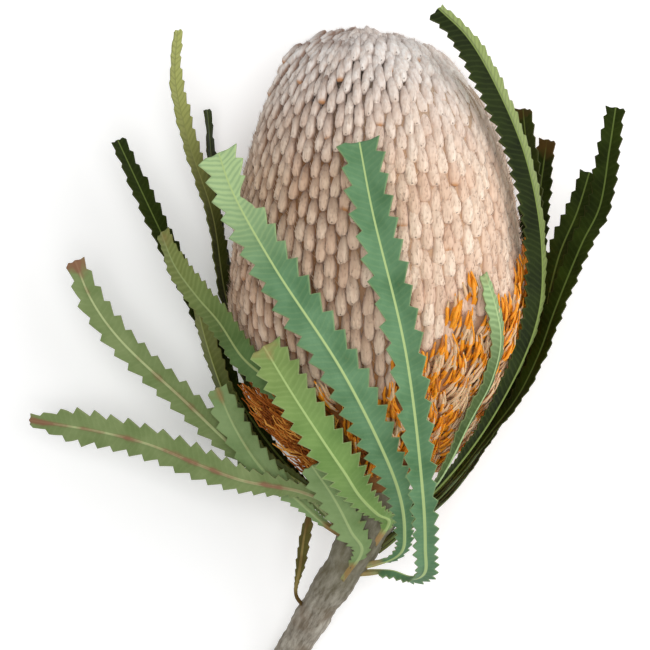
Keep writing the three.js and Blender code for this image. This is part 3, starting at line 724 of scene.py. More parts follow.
# Petal tissue: thin and waxy, each lobe at its own stage and neighbours in patches about 7 mm across: from
# felted cream, most of it low on the right, through bright orange to brown; darker at the foot.
orange_petal, tree = new_material("waxy_orange_petal")
place = add(tree, "ShaderNodeTexCoord", output="Object")
sideways, height = (add(tree, "ShaderNodeSeparateXYZ", {0: place}, output=axis) for axis in "XY")
reach, tint, part = (
    add(tree, "ShaderNodeAttribute", output="Fac", attribute_name=name) for name in ("reach", "tint", "part")
)
patches = add(tree, "ShaderNodeTexNoise", {"Vector": place, "Scale": MM_PER_METRE / 7.0, "Detail": 1.0})
stage = add(tree, "ShaderNodeMath", {0: tint, 1: part}, operation="ADD")
stage = add(tree, "ShaderNodeMath", {0: stage}, operation="FRACT")
patched = add(tree, "ShaderNodeMapRange", {"Value": patches, 1: 0.34, 2: 0.66, 3: 0.0, 4: 0.62})
stage = add(tree, "ShaderNodeMath", {0: stage, 1: 0.38, 2: patched}, operation="MULTIPLY_ADD")
later = add(tree, "ShaderNodeMapRange", {"Value": sideways, 1: 0.016, 2: 0.026, 3: 0.0, 4: 0.4})
lower = add(tree, "ShaderNodeMapRange", {"Value": height, 1: -0.018, 2: -0.03, 3: 0.0, 4: 1.0})
unripe = add(tree, "ShaderNodeMath", {0: later, 1: lower, 2: 0.31}, operation="MULTIPLY_ADD")
ripe = add(tree, "ShaderNodeMath", {0: stage, 1: unripe}, operation="GREATER_THAN")
hue = layered(
    tree,
    "#e2bd94",
    (ripe, WHOLE, WHOLE, "#f79c18"),  # no longer cream
    (stage, (0.72, 0.8), (0.0, 0.9), "#b8702a"),  # browned
    (reach, (0.0, 0.2), (0.3, 0.0), "#8a4a14"),  # the foot
)
surface = add(
    tree,
    "ShaderNodeBsdfPrincipled",
    {
        "Base Color": hue,
        "Roughness": 0.55,
        "Subsurface Weight": 0.25,
        "Subsurface Radius": (0.0012, 0.0006, 0.0003),
        "Subsurface Scale": 1.0,
    },
)
add(tree, "ShaderNodeOutputMaterial", {"Surface": surface})

# Dried wires: tan to deep rust, dull, no two the same.
rust_wire, tree = new_material("dried_rust_brown_wires")
place = add(tree, "ShaderNodeTexCoord", output="Object")
reach, tint, part = (
    add(tree, "ShaderNodeAttribute", output="Fac", attribute_name=name) for name in ("reach", "tint", "part")
)
varied = add(tree, "ShaderNodeMath", {0: tint, 1: part}, operation="ADD")
varied = add(tree, "ShaderNodeMath", {0: varied}, operation="FRACT")
patches = add(tree, "ShaderNodeTexNoise", {"Vector": place, "Scale": MM_PER_METRE / 8.0, "Detail": 1.0})
patched = add(tree, "ShaderNodeMapRange", {"Value": patches, 1: 0.35, 2: 0.65, 3: -0.3, 4: 0.3})
varied = add(tree, "ShaderNodeMath", {0: varied, 1: patched}, operation="ADD", use_clamp=True)
hue = layered(
    tree,
    "#7a3c0c",
    (varied, WHOLE, WHOLE, "#d07c2c"),  # from rust to tan
    (varied, (0.76, 0.9), (0.0, 0.8), "#e8aa50"),  # the palest
    (reach, (0.0, 0.4), (0.8, 0.0), "#572c0a"),  # the foot
)
surface = add(
    tree,
    "ShaderNodeBsdfPrincipled",
    {"Base Color": hue, "Roughness": 0.7, "Specular IOR Level": 0.15},
)
add(tree, "ShaderNodeOutputMaterial", {"Surface": surface})

open_sizes = {
    "Crown Florets": 0,
    "Flowering From": 0.0,
    "Flowering To": 1000.0,
    "Lean Spread": math.radians(10),
    "Crown Lean": 0.0,
    "Crown Sink": 0.0,
    "Crown Lumps": 0.0,
    "Swing Spread": math.radians(24),
    "Left Fit": 1.0,
    "Wobble": 1.6,
}
fresh_florets = florets_on_spike(
    "open_florets_fresh",
    **{
        **open_sizes,
        "Floret": fresh,
        "Finish": orange_petal,
        "Sink": 2.3,
        "Lean": math.radians(4),
        "Lean Spread": math.radians(6),
        "Freshness From": -0.3,
        "Freshness To": 10.0,
    },
)
spent_florets = florets_on_spike(
    "open_florets_spent",
    **{
        **open_sizes,
        "Floret": spent,
        "Finish": rust_wire,
        "Sink": 3.0,
        "Lean": math.radians(20),
        "Freshness From": -10.0,
        "Freshness To": -0.3,
    },
)
for piece in (fresh_florets, spent_florets):
    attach(piece, "root")
    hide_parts("open_florets")
for helper in (fresh, spent, outline_guide):
    bpy.data.objects.remove(helper)


# The stem: a short length of woody twig, bent from the foot of the spike down to the surface it lies on.
# Its bark is grey, cracked lengthways, with the swollen scars of fallen leaves, and its lower end is cut.
STEM_POINTS = (
    (0, -61.6, 42.8),
    (0, -66, 42.8),
    (-3, -73, 41),
    (-9, -84, 36),
    (-17, -97, 26),
    (-27, -115, 12),
    (-32, -124, 4.2),
)
STEM_RADIUS = 5.2
STEM_TOP_RADIUS = 8.2
STEM_KNOBS = 5
STEM_KNOB_HEIGHT = 0.5
STEM_SIDES = 32
STEM_STATIONS = 110

# Each leaf scar as its distance along the stem and its turn round it.
LEAF_SCARS = ((24, 0.3), (31, 2.2), (38, 4.4), (45, 1.2), (52, 3.1), (58, 5.3), (64, 0.9))


def smooth_route(points):
    """A centripetal Catmull-Rom curve through points: distances along it and the points at them."""
    points = np.asarray(points, float)
    ends = np.vstack([2 * points[0] - points[1], points, 2 * points[-1] - points[-2]])
    share = np.linspace(0, 1, 40, endpoint=False)[:, None]
    pieces = []
    for p0, p1, p2, p3 in zip(ends[:-3], ends[1:-2], ends[2:-1], ends[3:]):
        d0, d1, d2 = (math.sqrt(np.linalg.norm(b - a)) for a, b in ((p0, p1), (p1, p2), (p2, p3)))
        t1 = d1 * ((p1 - p0) / d0 - (p2 - p0) / (d0 + d1) + (p2 - p1) / d1)
        t2 = d1 * ((p2 - p1) / d1 - (p3 - p1) / (d1 + d2) + (p3 - p2) / d2)
        cubic = 2 * (p1 - p2) + t1 + t2
        square = -3 * (p1 - p2) - 2 * t1 - t2
        pieces.append(p1 + share * t1 + share**2 * square + share**3 * cubic)
    dense = np.vstack([*pieces, points[-1:]])
    distance = np.append(0, np.cumsum(np.linalg.norm(np.diff(dense, axis=0), axis=1)))
    return distance, dense


def at_distance(distance, dense, wanted):
    return np.column_stack([np.interp(wanted, distance, dense[:, axis]) for axis in range(3)])


stem_distance, stem_dense = smooth_route(STEM_POINTS)
STEM_LENGTH = stem_distance[-1]
stem_runs = unit(np.gradient(stem_dense, axis=0))


def stem_radius(share):
    flare = (STEM_TOP_RADIUS - STEM_RADIUS) * (1 - share) ** 2.5
    return STEM_RADIUS + flare + STEM_KNOB_HEIGHT * np.sin(share * STEM_KNOBS * 2 * np.pi) * (1 - share)


def on_stem(distance, turn, lift):
    """A point on the stem: so far along it, turned round it from the top, and lifted off it."""
    run = unit(at_distance(stem_distance, stem_runs, [distance])[0])
    top = unit(np.array([0.0, 0.0, 1.0]) - run * run[2])
    right = np.cross(top, run)
    reach = stem_radius(distance / STEM_LENGTH) + lift
    centre = at_distance(stem_distance, stem_dense, [distance])[0]
    return centre + top * reach * math.cos(turn) + right * reach * math.sin(turn)


wanted = np.linspace(0, STEM_LENGTH, STEM_STATIONS)
stem_route = at_distance(stem_distance, stem_dense, wanted)
stem_widths = stem_radius(wanted / STEM_LENGTH)
points, faces, _, _ = sweep(stem_route, stem_widths, stem_widths, STEM_SIDES, (0, 0, 1))

# Lengthways cracks and leaf scars, raised or sunk from the round.
ring_of = np.minimum(np.arange(len(points)) // STEM_SIDES, STEM_STATIONS - 1)
side_of = np.arange(len(points)) % STEM_SIDES
turns = side_of / STEM_SIDES * 2 * np.pi
far = wanted[ring_of]
relief = 0.16 * np.sin(turns * 7 + 1.3 * np.sin(far * 0.31)) * np.sin(far * 0.22 + turns * 2)
relief += 0.12 * np.sin(turns * 13 + far * 0.17) + 0.1 * np.sin(far * 1.7 + 3 * np.sin(turns * 2))
for scar_far, scar_turn in LEAF_SCARS:
    around = np.angle(np.exp(1j * (turns - scar_turn))) * STEM_RADIUS
    near = np.hypot((far - scar_far) / 1.6, around / 2.6)
    relief += 0.7 * np.exp(-(near**2)) - 0.45 * np.exp(-((near * 2.4) ** 2))
relief[-2:] = 0
centre = stem_route[ring_of]
outward = points - centre
length = np.linalg.norm(outward, axis=1, keepdims=True)
outward = np.divide(outward, length, out=np.zeros_like(outward), where=length > 1e-6)
points = points + outward * relief[:, None]
points[:, 2] = np.maximum(points[:, 2], 0)

# Bark: dull grey-brown, in long flakes about 1.5 mm wide with brown cracks between them, and still greenish
# near the spike.
bark, tree = new_material("grey_cracked_bark")
grain = add(tree, "ShaderNodeAttribute", output="Vector", attribute_name="grain")
place = add(tree, "ShaderNodeTexCoord", output="Object")
long_grain = add(tree, "ShaderNodeVectorMath", {0: grain, 1: (1.0, 0.22, 1.0)}, operation="MULTIPLY")
flakes = {"Vector": long_grain, "Scale": 1 / 1.5, "Detail": 6.0, "Roughness": 0.65}
flakes = add(tree, "ShaderNodeTexNoise", flakes)
blotches = add(tree, "ShaderNodeTexNoise", {"Vector": place, "Scale": MM_PER_METRE / 7.0, "Detail": 3.0})
from_spike = add(tree, "ShaderNodeSeparateXYZ", {0: grain}, output="Y")
hue = layered(
    tree,
    "#665c4c",
    (flakes, (0.35, 0.68), (0.0, 1.0), "#b4ad9f"),  # flakes over cracks
    (blotches, (0.5, 0.7), (0.0, 0.6), "#6f5c45"),  # brown blotches about 7 mm across
    (from_spike, (25.0, 50.0), (0.6, 0.0), "#5c5a3e"),  # greenish near the spike
)
cracks = add(tree, "ShaderNodeBump", {"Strength": 0.7, "Distance": 0.0006, "Height": flakes})
surface = add(tree, "ShaderNodeBsdfPrincipled", {"Base Color": hue, "Roughness": 0.85, "Normal": cracks})
add(tree, "ShaderNodeOutputMaterial", {"Surface": surface})

# Cut wood: a pale dry disc with a darker pith and rings about 0.9 mm apart.
cut_wood, tree = new_material("pale_cut_wood")
grain = add(tree, "ShaderNodeAttribute", output="Vector", attribute_name="grain")
from_pith = add(tree, "ShaderNodeSeparateXYZ", {0: grain}, output="Z")
rings_apart = add(tree, "ShaderNodeMath", {0: from_pith, 1: 2 * math.pi / 0.9}, operation="MULTIPLY")
ringed = add(tree, "ShaderNodeMath", {0: rings_apart}, operation="SINE")
hue = layered(
    tree,
    "#d8c49c",
    (ringed, (-1.0, 1.0), (0.0, 0.6), "#b39564"),  # rings
    (from_pith, (0.5, 1.0), (0.8, 0.0), "#7d5d36"),  # pith
)
surface = add(tree, "ShaderNodeBsdfPrincipled", {"Base Color": hue, "Roughness": 0.8})
add(tree, "ShaderNodeOutputMaterial", {"Surface": surface})

stem = new_piece("stem_bark", points, faces, bark, cut_wood)
stored = stem.data.attributes.new("grain", "FLOAT_VECTOR", "POINT")
from_centre = np.linalg.norm(points - centre, axis=1)
stored.data.foreach_set("vector", np.column_stack([turns * STEM_RADIUS, far, from_centre]).ravel())
cut_hub = len(points) - 1
for face in stem.data.polygons:
    if cut_hub in face.vertices:
        face.material_index = 1
        face.use_smooth = False
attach(stem, "root")
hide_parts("stem")


# The leaves: stiff leathery straps with saw teeth that lean towards a blunt end, a raised pale midrib on
# the outer face, and a short woody stalk set into the bark. Each bends its own way round the spike.
STALK_LENGTH = 7.0
STALK_HALF_WIDTH = 1.1
STALK_WIDTH_SHARE = 0.14  # the most of the leaf's width that it may be to either side
STALK_HALF_THICKNESS = 0.8
STALK_ROOT = -0.8  # how far its end is set into the bark
BLADE_HALF_THICKNESS = 0.36
EDGE_HALF_THICKNESS = 0.2
SMALL_TOOTH_SHARE = 0.45  # of the pitch, at the base
TOOTH_LEAN = 0.8  # the share of its pitch at which a tooth has its point
TOOTH_SIZES = (0.82, 1.08)
SIDE_STEP = 0.38  # the teeth of one side stand this share of a pitch behind the other's
RIB_HALF_WIDTH = 0.75
RIB_HEIGHT = 0.5
STATION_STEP = 0.9
WAVE = 0.2  # how far the edges rise and fall
WAVE_RATE = 0.55
TIP_NARROWS_FROM = 0.85  # a share of the blade
TIP_SPAN = 5.0
TIP_DIP = 0.35  # how far the blunt end falls back between its midrib and its corners
DRY_TIP_SPAN = 9.0
DRY_RIB_HALF_WIDTH = 0.9
BITTEN_LEAF = "leaf_front_left"  # an insect has eaten into its right edge near the tip
BITE_AT = 0.895
BITE_SPAN = 0.03
BITE_DEPTH = 0.7
PALE_FROM = 0.55  # the share of the blade where it starts to pale
BITTEN_PALE_FROM = 0.7
PAINTED_LIGHT_LEAF = "leaf_right_tall"  # painted light: only its outer half is lighter, and nearly down to the base
RIB_COLUMNS = (0.0, 0.45, 1.0)
BLADE_COLUMNS = (0.2, 0.45, 0.7, 0.88, 1.0)


def leaf_blade(name, face, deep, pale, rib, edge, dry, roughness):
    """Leather-tough leaf: a waxy matt face with faint slanting veins, a pale midrib and a thin pale edge."""
    material, tree = new_material(name)
    place = add(tree, "ShaderNodeTexCoord", output="Object")
    blade = add(tree, "ShaderNodeAttribute", output="Vector", attribute_name="blade")
    rim = add(tree, "ShaderNodeAttribute", output="Fac", attribute_name="edge")
    wither = add(tree, "ShaderNodeAttribute", output="Fac", attribute_name="wither")
    paleness = add(tree, "ShaderNodeAttribute", output="Fac", attribute_name="paleness")
    across = add(tree, "ShaderNodeSeparateXYZ", {0: blade}, output="X")
    across = add(tree, "ShaderNodeMath", {0: across}, operation="ABSOLUTE")
    along = add(tree, "ShaderNodeSeparateXYZ", {0: blade}, output="Y")
    share = add(tree, "ShaderNodeSeparateXYZ", {0: blade}, output="Z")
    mottle = add(tree, "ShaderNodeTexNoise", {"Vector": place, "Scale": MM_PER_METRE / 9.0, "Detail": 4.0})
    grit = add(tree, "ShaderNodeTexNoise", {"Vector": place, "Scale": MM_PER_METRE / 0.8, "Detail": 2.0})

    # Veins leave the midrib about every 2 mm, not quite evenly, and slant towards the tip.
    slant = add(tree, "ShaderNodeMath", {0: across, 1: -0.55, 2: along}, operation="MULTIPLY_ADD")
    slant = add(tree, "ShaderNodeMath", {0: mottle, 1: 4.0, 2: slant}, operation="MULTIPLY_ADD")
    veins = add(tree, "ShaderNodeMath", {0: slant, 1: 2 * math.pi / 2.0}, operation="MULTIPLY")
    veins = add(tree, "ShaderNodeMath", {0: veins}, operation="SINE")
    vein_strength = add(tree, "ShaderNodeMath", {0: paleness, 1: 0.3, 2: 0.05}, operation="MULTIPLY_ADD")
    rib_width = add(tree, "ShaderNodeMapRange", {"Value": share, 1: 0.0, 2: 1.0, 3: 0.55, 4: 0.26})
    from_rib = add(tree, "ShaderNodeMath", {0: across, 1: rib_width}, operation="DIVIDE")
    drying = add(tree, "ShaderNodeMath", {0: mottle, 1: 1.3, 2: wither}, operation="MULTIPLY_ADD")
    hue = layered(
        tree,
        face,
        (mottle, (0.35, 0.7), (0.0, 1.0), deep),  # mottled
        (paleness, WHOLE, WHOLE, pale),  # paled, and on one leaf painted light
        (veins, (-1.0, 0.5), (0.34, 0.0), deep, paleness),  # between the veins of a paled part
        (veins, (0.2, 1.0), (0.0, vein_strength), rib),  # on the veins
        (rim, (0.9, 1.0), (0.0, 0.4), edge),  # the edge
        (from_rib, (0.8, 1.1), (0.95, 0.0), rib),  # the midrib
        (drying, (0.9, 1.25), (0.0, 0.9), dry),  # dried
    )
    ridges = add(tree, "ShaderNodeMath", {0: veins, 1: 0.12, 2: grit}, operation="MULTIPLY_ADD")
    bumps = add(tree, "ShaderNodeBump", {"Strength": 0.3, "Distance": 0.0003, "Height": ridges})
    surface = add(
        tree,
        "ShaderNodeBsdfPrincipled",
        {"Base Color": hue, "Roughness": roughness, "Specular IOR Level": 0.1, "Normal": bumps},
    )
    add(tree, "ShaderNodeOutputMaterial", {"Surface": surface})
    return material


# Each finish: its face, the deeper green that mottles it, what it pales to, its rib, its edge, what it dries
# to, and its roughness.
LEAF_FINISHES = {
    "blue_green": ("#688e68", "#507650", "#b2cc95", "#b2c886", "#a9b77c", "#a98a5a", 0.5),
    "yellow_green": ("#809f5b", "#698a49", "#a6b06c", "#b0c880", "#c3cf95", "#b08a60", 0.5),
    "young_green": ("#4c6034", "#3c4f28", "#9cb882", "#a8c088", "#a2b07a", "#8a7448", 0.5),
    "deep_green": ("#88a06c", "#708a56", "#8a9c68", "#a0b47c", "#8d9f68", "#96764a", 0.5),
    "grey_green": ("#829260", "#6c7f4c", "#96a272", "#b4c08a", "#a2a87a", "#8a5f4a", 0.55),
    "moss_green": ("#5a7544", "#425c2e", "#8d9150", "#92a066", "#7c7d4a", "#8a7448", 0.55),
    "olive": ("#454d1a", "#30380c", "#b2b86e", "#8d9356", "#7c7d4a", "#6b5630", 0.55),
    "dark_olive": ("#2b380a", "#182103", "#8b9a54", "#627338", "#4d4e28", "#4f3a18", 0.55),
    # This finish's pale colour is painted light on one leaf's outer half.
    "dark_with_painted_light": ("#222d0a", "#131b04", "#98a864", "#7d8e4c", "#5a6434", "#4f3a18", 0.55),
    "dry_brown": ("#5f5a2c", "#4a4420", "#5f5a2c", "#8a7a48", "#7d6c40", "#5c4522", 0.8),
}
leaf_materials = {finish: leaf_blade(finish + "_leaf", *looks) for finish, looks in LEAF_FINISHES.items()}

# Each leaf: its finish, where its stalk leaves the stem (distance, and turn from the top in degrees), its
# full width, the shares of it at the base and at the tip and the share of the blade over which it widens,
# the pitch of its teeth and the share of the width left at a notch, the way its outer face looks at the
# tip, its twist back to the stalk, how steeply its halves fall from the midrib, how far its tip and its
# midrib have dried and its tip has paled, and the points that the midrib passes.
LEAVES = (
    ("leaf_front_right", "blue_green", (26, 75), 15.5, (0.48, 0.95, 1.15), (6.9, 0.62),
     (0, 0, 1), 0, -0.55, (0.05, 0, 0),
     ((4.5, -86.5, 41.5), (10.5, -88, 46), (14.4, -85.5, 54), (14.3, -77, 65), (13, -59, 80),
      (7.5, -17, 94.5), (-2.3, 24.7, 92), (-6, 45, 87))),
    ("leaf_front_left", "blue_green", (22, 60), 15, (0.35, 0.95, 0.5), (6.6, 0.62),
     (-0.2, 0, 1), 0, -0.08, (0, 0, 1),
     ((4.5, -82, 46.5), (7.6, -79, 51), (8.1, -72.5, 58.5), (6.6, -61.9, 70), (2.5, -50.2, 79.5),
      (-11.3, -22.7, 93), (-31.2, 7.8, 90), (-44, 30.8, 80), (-48.3, 42.6, 74))),
    ("leaf_front_short", "yellow_green", (14, 45), 14.5, (0.35, 0.85, 0.5), (5.2, 0.64),
     (-0.2, 0, 1), 0, 0.1, (0.3, 0.1, 0.3),
     ((3.5, -70, 51), (0, -67.5, 57), (-5.8, -61.2, 66.5), (-10.1, -54.2, 74.5), (-15, -46.8, 79.5),
      (-25.9, -30, 83.5), (-34.6, -15.7, 80))),
    ("leaf_front_low", "deep_green", (29, 15), 12, (0.4, 0.7, 0.5), (5.2, 0.64),
     (-0.2, 0, 1), 0, 0.1, (0.1, 0.15, 0),
     ((-4.8, -79, 48), (-8, -73.5, 52.5), (-11.2, -66.8, 57.5), (-14.3, -61.1, 61.5),
      (-20.2, -52.3, 66.5))),
    ("leaf_left_low", "grey_green", (15, -50), 12.5, (0.3, 0.38, 0.5), (5.8, 0.64),
     (0, -0.2, 1), 0, 0.12, (0.3, 0.5, 0),
     ((-12, -67.5, 49), (-22, -61.5, 53), (-42, -57.3, 54), (-55, -52.8, 51), (-71, -46.6, 46),
      (-87, -42.8, 40), (-110, -39.5, 31))),
    ("leaf_left_mid", "grey_green", (17, -95), 10, (0.3, 0.7, 0.5), (6.2, 0.66),
     (0, 0, 1), 0, 0.12, (0.6, 0.3, 0),
     ((-27, -59, 41), (-40.5, -51.3, 41), (-61, -32.6, 41), (-81.7, -12.9, 39), (-90, -1, 38.5),
      (-95, 11, 38))),
    ("leaf_left_small", "deep_green", (18, -80), 10.5, (0.3, 0.7, 0.5), (5.2, 0.66),
     (0, 0, 1), 0, 0.12, (0.3, 0.3, 0),
     ((-17, -71, 44), (-27, -62, 47), (-36, -54, 48), (-44, -42, 48), (-50, -29, 46))),
    ("leaf_left_high", "moss_green", (6, 0), 10.5, (0.3, 0.6, 0.5), (3.4, 0.78),
     (-0.75, 0, 0.66), 30, 0.12, (0.3, 0.1, 0.7),
     ((-4, -62, 56), (-9, -55, 63.5), (-14, -48, 70), (-20, -39.5, 74.5), (-27, -31, 75.5),
      (-34.5, -25, 71.5), (-41.3, -19.1, 66.5), (-48.5, -8.5, 62), (-55.5, -0.5, 58), (-62.4, 8.9, 54),
      (-66.9, 19.5, 50))),
    ("leaf_left_back", "olive", (14, -120), 10, (0.3, 0.7, 0.5), (3.8, 0.78),
     (-0.8, 0, 0.6), 0, 0.15, (0.2, 0.1, 0.3),
     ((-21, -61, 29), (-38, -49, 29), (-47, -33, 33), (-53, -16, 36), (-57, 0, 37))),
    ("leaf_left_dark", "dark_olive", (11, -140), 10, (0.3, 0.7, 0.5), (4.6, 0.72),
     (-0.8, 0, -0.6), 0, 0.15, (0.1, 0, 0),
     ((-25, -58, 23), (-43, -35, 24), (-57, -4, 29), (-69, 21, 33), (-82, 49, 36))),
    ("leaf_left_tall", "olive", (7, -125), 10, (0.3, 0.6, 0.5), (4.2, 0.74),
     (-0.9, 0, -0.45), 0, 0.2, (0.1, 0, 1),
     ((-22, -54, 18), (-40, -30, 16), (-48.5, 0, 21.5), (-52.5, 26, 28), (-59.5, 48, 35),
      (-63.6, 68, 41.5), (-62.6, 82.7, 46))),
    ("leaf_left_under", "dark_olive", (5, -155), 9, (0.3, 0.7, 0.5), (4.6, 0.74),
     (-0.95, 0, -0.3), 0, 0.15, (0.1, 0, 0),
     ((-19, -51, 12), (-37, -24, 9), (-50, 15, 12), (-54.5, 60, 18))),
    ("leaf_right_tall", "dark_with_painted_light", (6, 75), 13.5, (0.3, 0.6, 0.5), (3.8, 0.76),
     (0.72, 0, 0.69), 32, 0.3, (0.1, 0, 0.9),
     ((19, -59, 54), (36, -36, 58), (48.5, -8, 60), (50, 14, 60), (45.5, 40, 62), (37, 61, 65),
      (27, 78, 68), (18, 87, 68))),
    ("leaf_right_dark", "dark_olive", (10, 110), 12, (0.3, 0.7, 0.5), (4.2, 0.76),
     (0.75, 0, -0.66), 0, 0.15, (0.5, 0, 0),
     ((22, -60, 33), (41, -34, 27), (49.5, -2, 26), (49.5, 30, 30), (46.5, 59, 36))),
    ("leaf_right_brown", "dark_olive", (13, 125), 10, (0.3, 0.7, 0.5), (4, 0.76),
     (0.6, 0, -0.8), 0, 0.15, (0.8, 0, 0),
     ((24, -60, 25), (43, -28, 16), (50.5, 2, 16), (52.5, 29, 20), (55, 50, 24))),
    ("leaf_right_far", "dark_olive", (15, 82), 10, (0.2, 0.7, 0.5), (4.2, 0.74),
     (0.5, 0, -0.87), -60, 0.2, (0.1, 0, 0),
     ((21, -61, 48), (35.6, -43, 48.5), (44.2, -31.5, 49), (50.6, -18.5, 49.5), (55.5, -4.7, 50.5),
      (63.6, 15.6, 52), (69, 27, 53), (71.8, 44.5, 55), (73.6, 57.8, 57))),
    ("leaf_right_mid", "dark_olive", (18, 100), 10, (0.25, 0.7, 0.5), (4.2, 0.74),
     (0.5, 0, -0.87), -60, 0.2, (0.1, 0, 0),
     ((23, -62.5, 40), (40.5, -36, 38), (52, -11, 39.5), (55, 3.2, 41), (58, 14.1, 42), (62.9, 26, 43.5),
      (66.6, 38.4, 45))),
    ("leaf_right_front", "young_green", (4, 45), 8, (0.3, 0.6, 0.5), (4.6, 0.76),
     (0.8, 0, 0.6), 0, 0.2, (0.2, 0.1, 1),
     ((17, -59, 60), (28, -38, 67), (34, -26, 71), (36.5, -14, 75), (34.8, -4, 78), (31.5, 6, 80))),
    ("leaf_dry", "dry_brown", (49, -70), 4, (0.3, 0.4, 0.5), (4.6, 0.72),
     (-0.6, 0, 0.8), 60, 0.3, (0.6, 0.3, 0),
     ((-25.5, -95, 29), (-24, -85, 35), (-22.5, -75, 40), (-21, -68, 43))),
)

chances = np.random.default_rng(5)
for name, finish, stalk, width, ends, teeth, facing, twist, fold, ageing, midrib in LEAVES:
    tooth_pitch, notch_share = teeth
    dry_tip, dry_rib, pale_tip = ageing
    stalk_half = min(STALK_HALF_WIDTH, STALK_WIDTH_SHARE * width)
    root = on_stem(stalk[0], math.radians(stalk[1]), STALK_ROOT)
    distance, dense = smooth_route([root, *midrib])
    length = distance[-1]
    blade = length - STALK_LENGTH

    # Where each side's teeth begin: close together at the base, and further apart up the blade.
    starts = [0.0]
    while starts[-1] < 1:
        tooth_share = SMALL_TOOTH_SHARE + (1 - SMALL_TOOTH_SHARE) * smoothstep(starts[-1], 0.0, 0.5)
        starts.append(starts[-1] + tooth_pitch * tooth_share / blade)
    starts = np.array(starts) / starts[-1]
    gaps = np.append(np.diff(starts), starts[-1] - starts[-2])
    sides = [starts, np.append(0, starts + SIDE_STEP * gaps)]
    sizes = [chances.uniform(*TOOTH_SIZES, len(side) + 1) for side in sides]
    points_of_teeth = [side[:-1] + TOOTH_LEAN * np.diff(side) for side in sides]

    # Stations up the stalk, at every notch and point of either side, and evenly between them.
    even = np.arange(0, length, STATION_STEP)
    marks = np.concatenate([*sides, *points_of_teeth])
    marks = STALK_LENGTH + marks[(marks > 0) & (marks < 1)] * blade
    even = even[np.abs(even[:, None] - marks[None, :]).min(axis=1) > 0.3 * STATION_STEP]
    stations = np.unique(np.round(np.concatenate([even, marks, [length]]), 3))
    shares = np.clip((stations - STALK_LENGTH) / blade, 0, 1)
    count = len(stations)

    envelope = ends[0] + (1 - ends[0]) * smoothstep(shares, 0, ends[2])
    envelope *= width / 2 * (1 - (1 - ends[1]) * smoothstep(shares, TIP_NARROWS_FROM, 1))
    half = []
    for side, size in zip(sides, sizes):
        tooth = np.clip(np.searchsorted(side, shares, side="right") - 1, 0, len(side) - 2)
        part = (shares - side[tooth]) / (side[tooth + 1] - side[tooth])
        part = np.clip(part, 0, 1)
        point = np.where(part < TOOTH_LEAN, part / TOOTH_LEAN, (1 - part) / (1 - TOOTH_LEAN))
        toothed = envelope * (notch_share + (1 - notch_share) * point * size[tooth])
        toothed = np.maximum(toothed, stalk_half)
        half.append(np.where(stations < STALK_LENGTH, stalk_half, toothed))

    if name == BITTEN_LEAF:
        half[1] = half[1] * (1 - BITE_DEPTH * np.exp(-(((shares - BITE_AT) / BITE_SPAN) ** 2)))

    route = at_distance(distance, dense, stations)
    runs = unit(np.gradient(route, stations, axis=0))
    outs = carried(runs[::-1], np.array(facing, float))[::-1]
    twisted = np.radians(twist) * (1 - stations / length)[:, None]
    outs = outs * np.cos(twisted) + np.cross(runs, outs) * np.sin(twisted)
    across = np.cross(runs, outs)

    # One ring of points round the section at each station: the outer face, then back along the inner one.
    blade_grown = smoothstep(stations, STALK_LENGTH - 5, STALK_LENGTH + 3)
    stalk_thick = min(STALK_HALF_THICKNESS, stalk_half)
    middle = stalk_thick + (BLADE_HALF_THICKNESS - stalk_thick) * blade_grown
    rim = stalk_thick * 0.6 + (EDGE_HALF_THICKNESS - stalk_thick * 0.6) * blade_grown
    rib_height = RIB_HEIGHT * (1 - 0.75 * shares)
    at_tip = smoothstep(stations, length - TIP_SPAN, length)
    columns = []
    for side, reach, phase in zip((-1, 1), half, chances.uniform(0, 6, 2)):
        rib = np.minimum(RIB_HALF_WIDTH, 0.4 * reach)
        steps_out = [rib * step for step in RIB_COLUMNS]
        steps_out += [rib + (reach - rib) * step for step in BLADE_COLUMNS]
        wave = WAVE * np.sin(stations * WAVE_RATE + phase) * blade_grown
        made = []
        for step, out in enumerate(steps_out):
            spread = out / reach
            lift = -fold * out + wave * spread**2
            thick = middle + (rim - middle) * spread**2
            ridge = rib_height * (1 - (out / rib) ** 2) if step < 2 else 0 * out
            dip = TIP_DIP * (np.cos(spread * 2 * np.pi) - 1) / 2 * at_tip
            faces_at = {"outer": lift + thick + ridge, "inner": lift - thick}
            made.append({"sideways": side * out, "dip": dip, "spread": spread, **faces_at})
        columns += made[:0:-1] if side < 0 else made  # from edge to edge, with the midrib once
    loop = [(column, "outer") for column in columns] + [(column, "inner") for column in reversed(columns)]
    rings = []
    for column, face in loop:
        shifts = ((across, column["sideways"]), (outs, column[face]), (runs, column["dip"]))
        rings.append(route + sum(way * amount[:, None] for way, amount in shifts))
    points = np.stack(rings, axis=1).reshape(-1, 3)
    points[:, 2] = np.maximum(points[:, 2], 0)
    around = len(loop)
    faces = []
    for ring in range(count - 1):
        near, far = ring * around, (ring + 1) * around
        for corner in range(around):
            after = (corner + 1) % around
            faces.append((near + corner, near + after, far + after, far + corner))
    for first in (0, (count - 1) * around):
        last = first + around - 1
        for corner in range(len(columns) - 1):
            faces.append((first + corner, first + corner + 1, last - corner - 1, last - corner))
    leaf = new_piece(name + "_blade", points, faces, leaf_materials[finish])

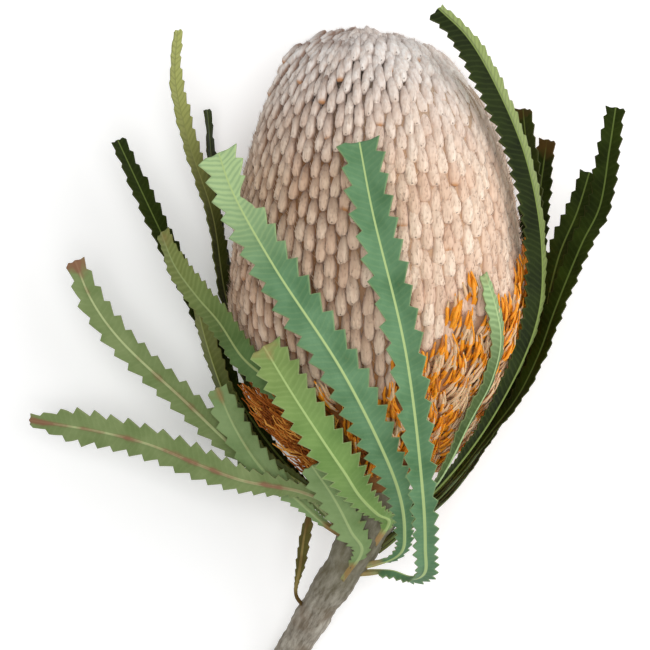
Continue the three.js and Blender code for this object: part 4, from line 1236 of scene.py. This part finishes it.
    spreads = np.stack([column["spread"] for column, _ in loop], axis=1)
    sideways = np.stack([column["sideways"] for column, _ in loop], axis=1)
    along = np.repeat(stations[:, None], around, axis=1)
    share = np.repeat(shares[:, None], around, axis=1)
    wither = dry_tip * smoothstep(along, length - DRY_TIP_SPAN, length)
    wither += dry_rib * np.exp(-((sideways / DRY_RIB_HALF_WIDTH) ** 2))
    wither += 0.5 * (1 - smoothstep(along, STALK_LENGTH * 0.4, STALK_LENGTH * 1.6))
    pale_from = BITTEN_PALE_FROM if name == BITTEN_LEAF else PALE_FROM
    paleness = pale_tip * smoothstep(share, pale_from, 0.98)
    # Painted light: on this leaf the paleness lightens only its outer half.
    if name == PAINTED_LIGHT_LEAF:
        paleness = pale_tip * smoothstep(share, 0.2, 0.5) * smoothstep(sideways, 0, 1.5)
    for attribute, values in (("edge", spreads), ("wither", wither), ("paleness", paleness)):
        stored = leaf.data.attributes.new(attribute, "FLOAT", "POINT")
        stored.data.foreach_set("value", values.ravel())
    stored = leaf.data.attributes.new("blade", "FLOAT_VECTOR", "POINT")
    stored.data.foreach_set("vector", np.stack([sideways, along, share], axis=-1).ravel())
    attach(leaf, "root")
    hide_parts(name)


# The floor and the light: a plain white table, lit a little from below, under a broad soft light from the
# right and a weaker one overhead, with white all round.
FLOOR_HALF = 4.0
white_floor, tree = new_material("plain_white_table")
glow = {"Emission Color": (1, 1, 1, 1), "Emission Strength": 0.15}
surface = add(tree, "ShaderNodeBsdfPrincipled", {"Base Color": (1, 1, 1, 1), "Roughness": 0.9, **glow})
add(tree, "ShaderNodeOutputMaterial", {"Surface": surface})
floor_mesh = bpy.data.meshes.new("floor")
corners = [(x * FLOOR_HALF, y * FLOOR_HALF, 0) for x, y in ((-1, -1), (1, -1), (1, 1), (-1, 1))]
floor_mesh.from_pydata(corners, [], [(0, 1, 2, 3)])
floor_mesh.materials.append(white_floor)
floor = bpy.data.objects.new("floor", floor_mesh)
bpy.context.scene.collection.objects.link(floor)

world = bpy.data.worlds.new("soft_white_room")
world.use_nodes = True
world.node_tree.nodes["Background"].inputs["Color"].default_value = (1, 1, 1, 1)
world.node_tree.nodes["Background"].inputs["Strength"].default_value = 0.46
bpy.context.scene.world = world
bpy.context.scene.view_settings.view_transform = "Standard"

for name, size, power, spot in (
    ("softbox", 1.1, 5.6, (0.68, 0.22, 0.6)),
    ("overhead", 0.5, 5.2, (-0.02, -0.04, 1.2)),
):
    lamp = bpy.data.lights.new(name, "AREA")
    lamp.shape = "SQUARE"
    lamp.size = size
    lamp.energy = power
    light = bpy.data.objects.new(name, lamp)
    light.location = spot
    light.rotation_euler = (Vector((0.0, 0.0, 0.05)) - light.location).to_track_quat("-Z", "Y").to_euler()
    bpy.context.scene.collection.objects.link(light)

lens = bpy.data.cameras.new("camera")
lens.sensor_width = 36.0
lens.lens = 159.5
camera = bpy.data.objects.new("camera", lens)
camera.location = (-0.01625, -0.009375, 0.945)
bpy.context.scene.collection.objects.link(camera)
bpy.context.scene.camera = camera
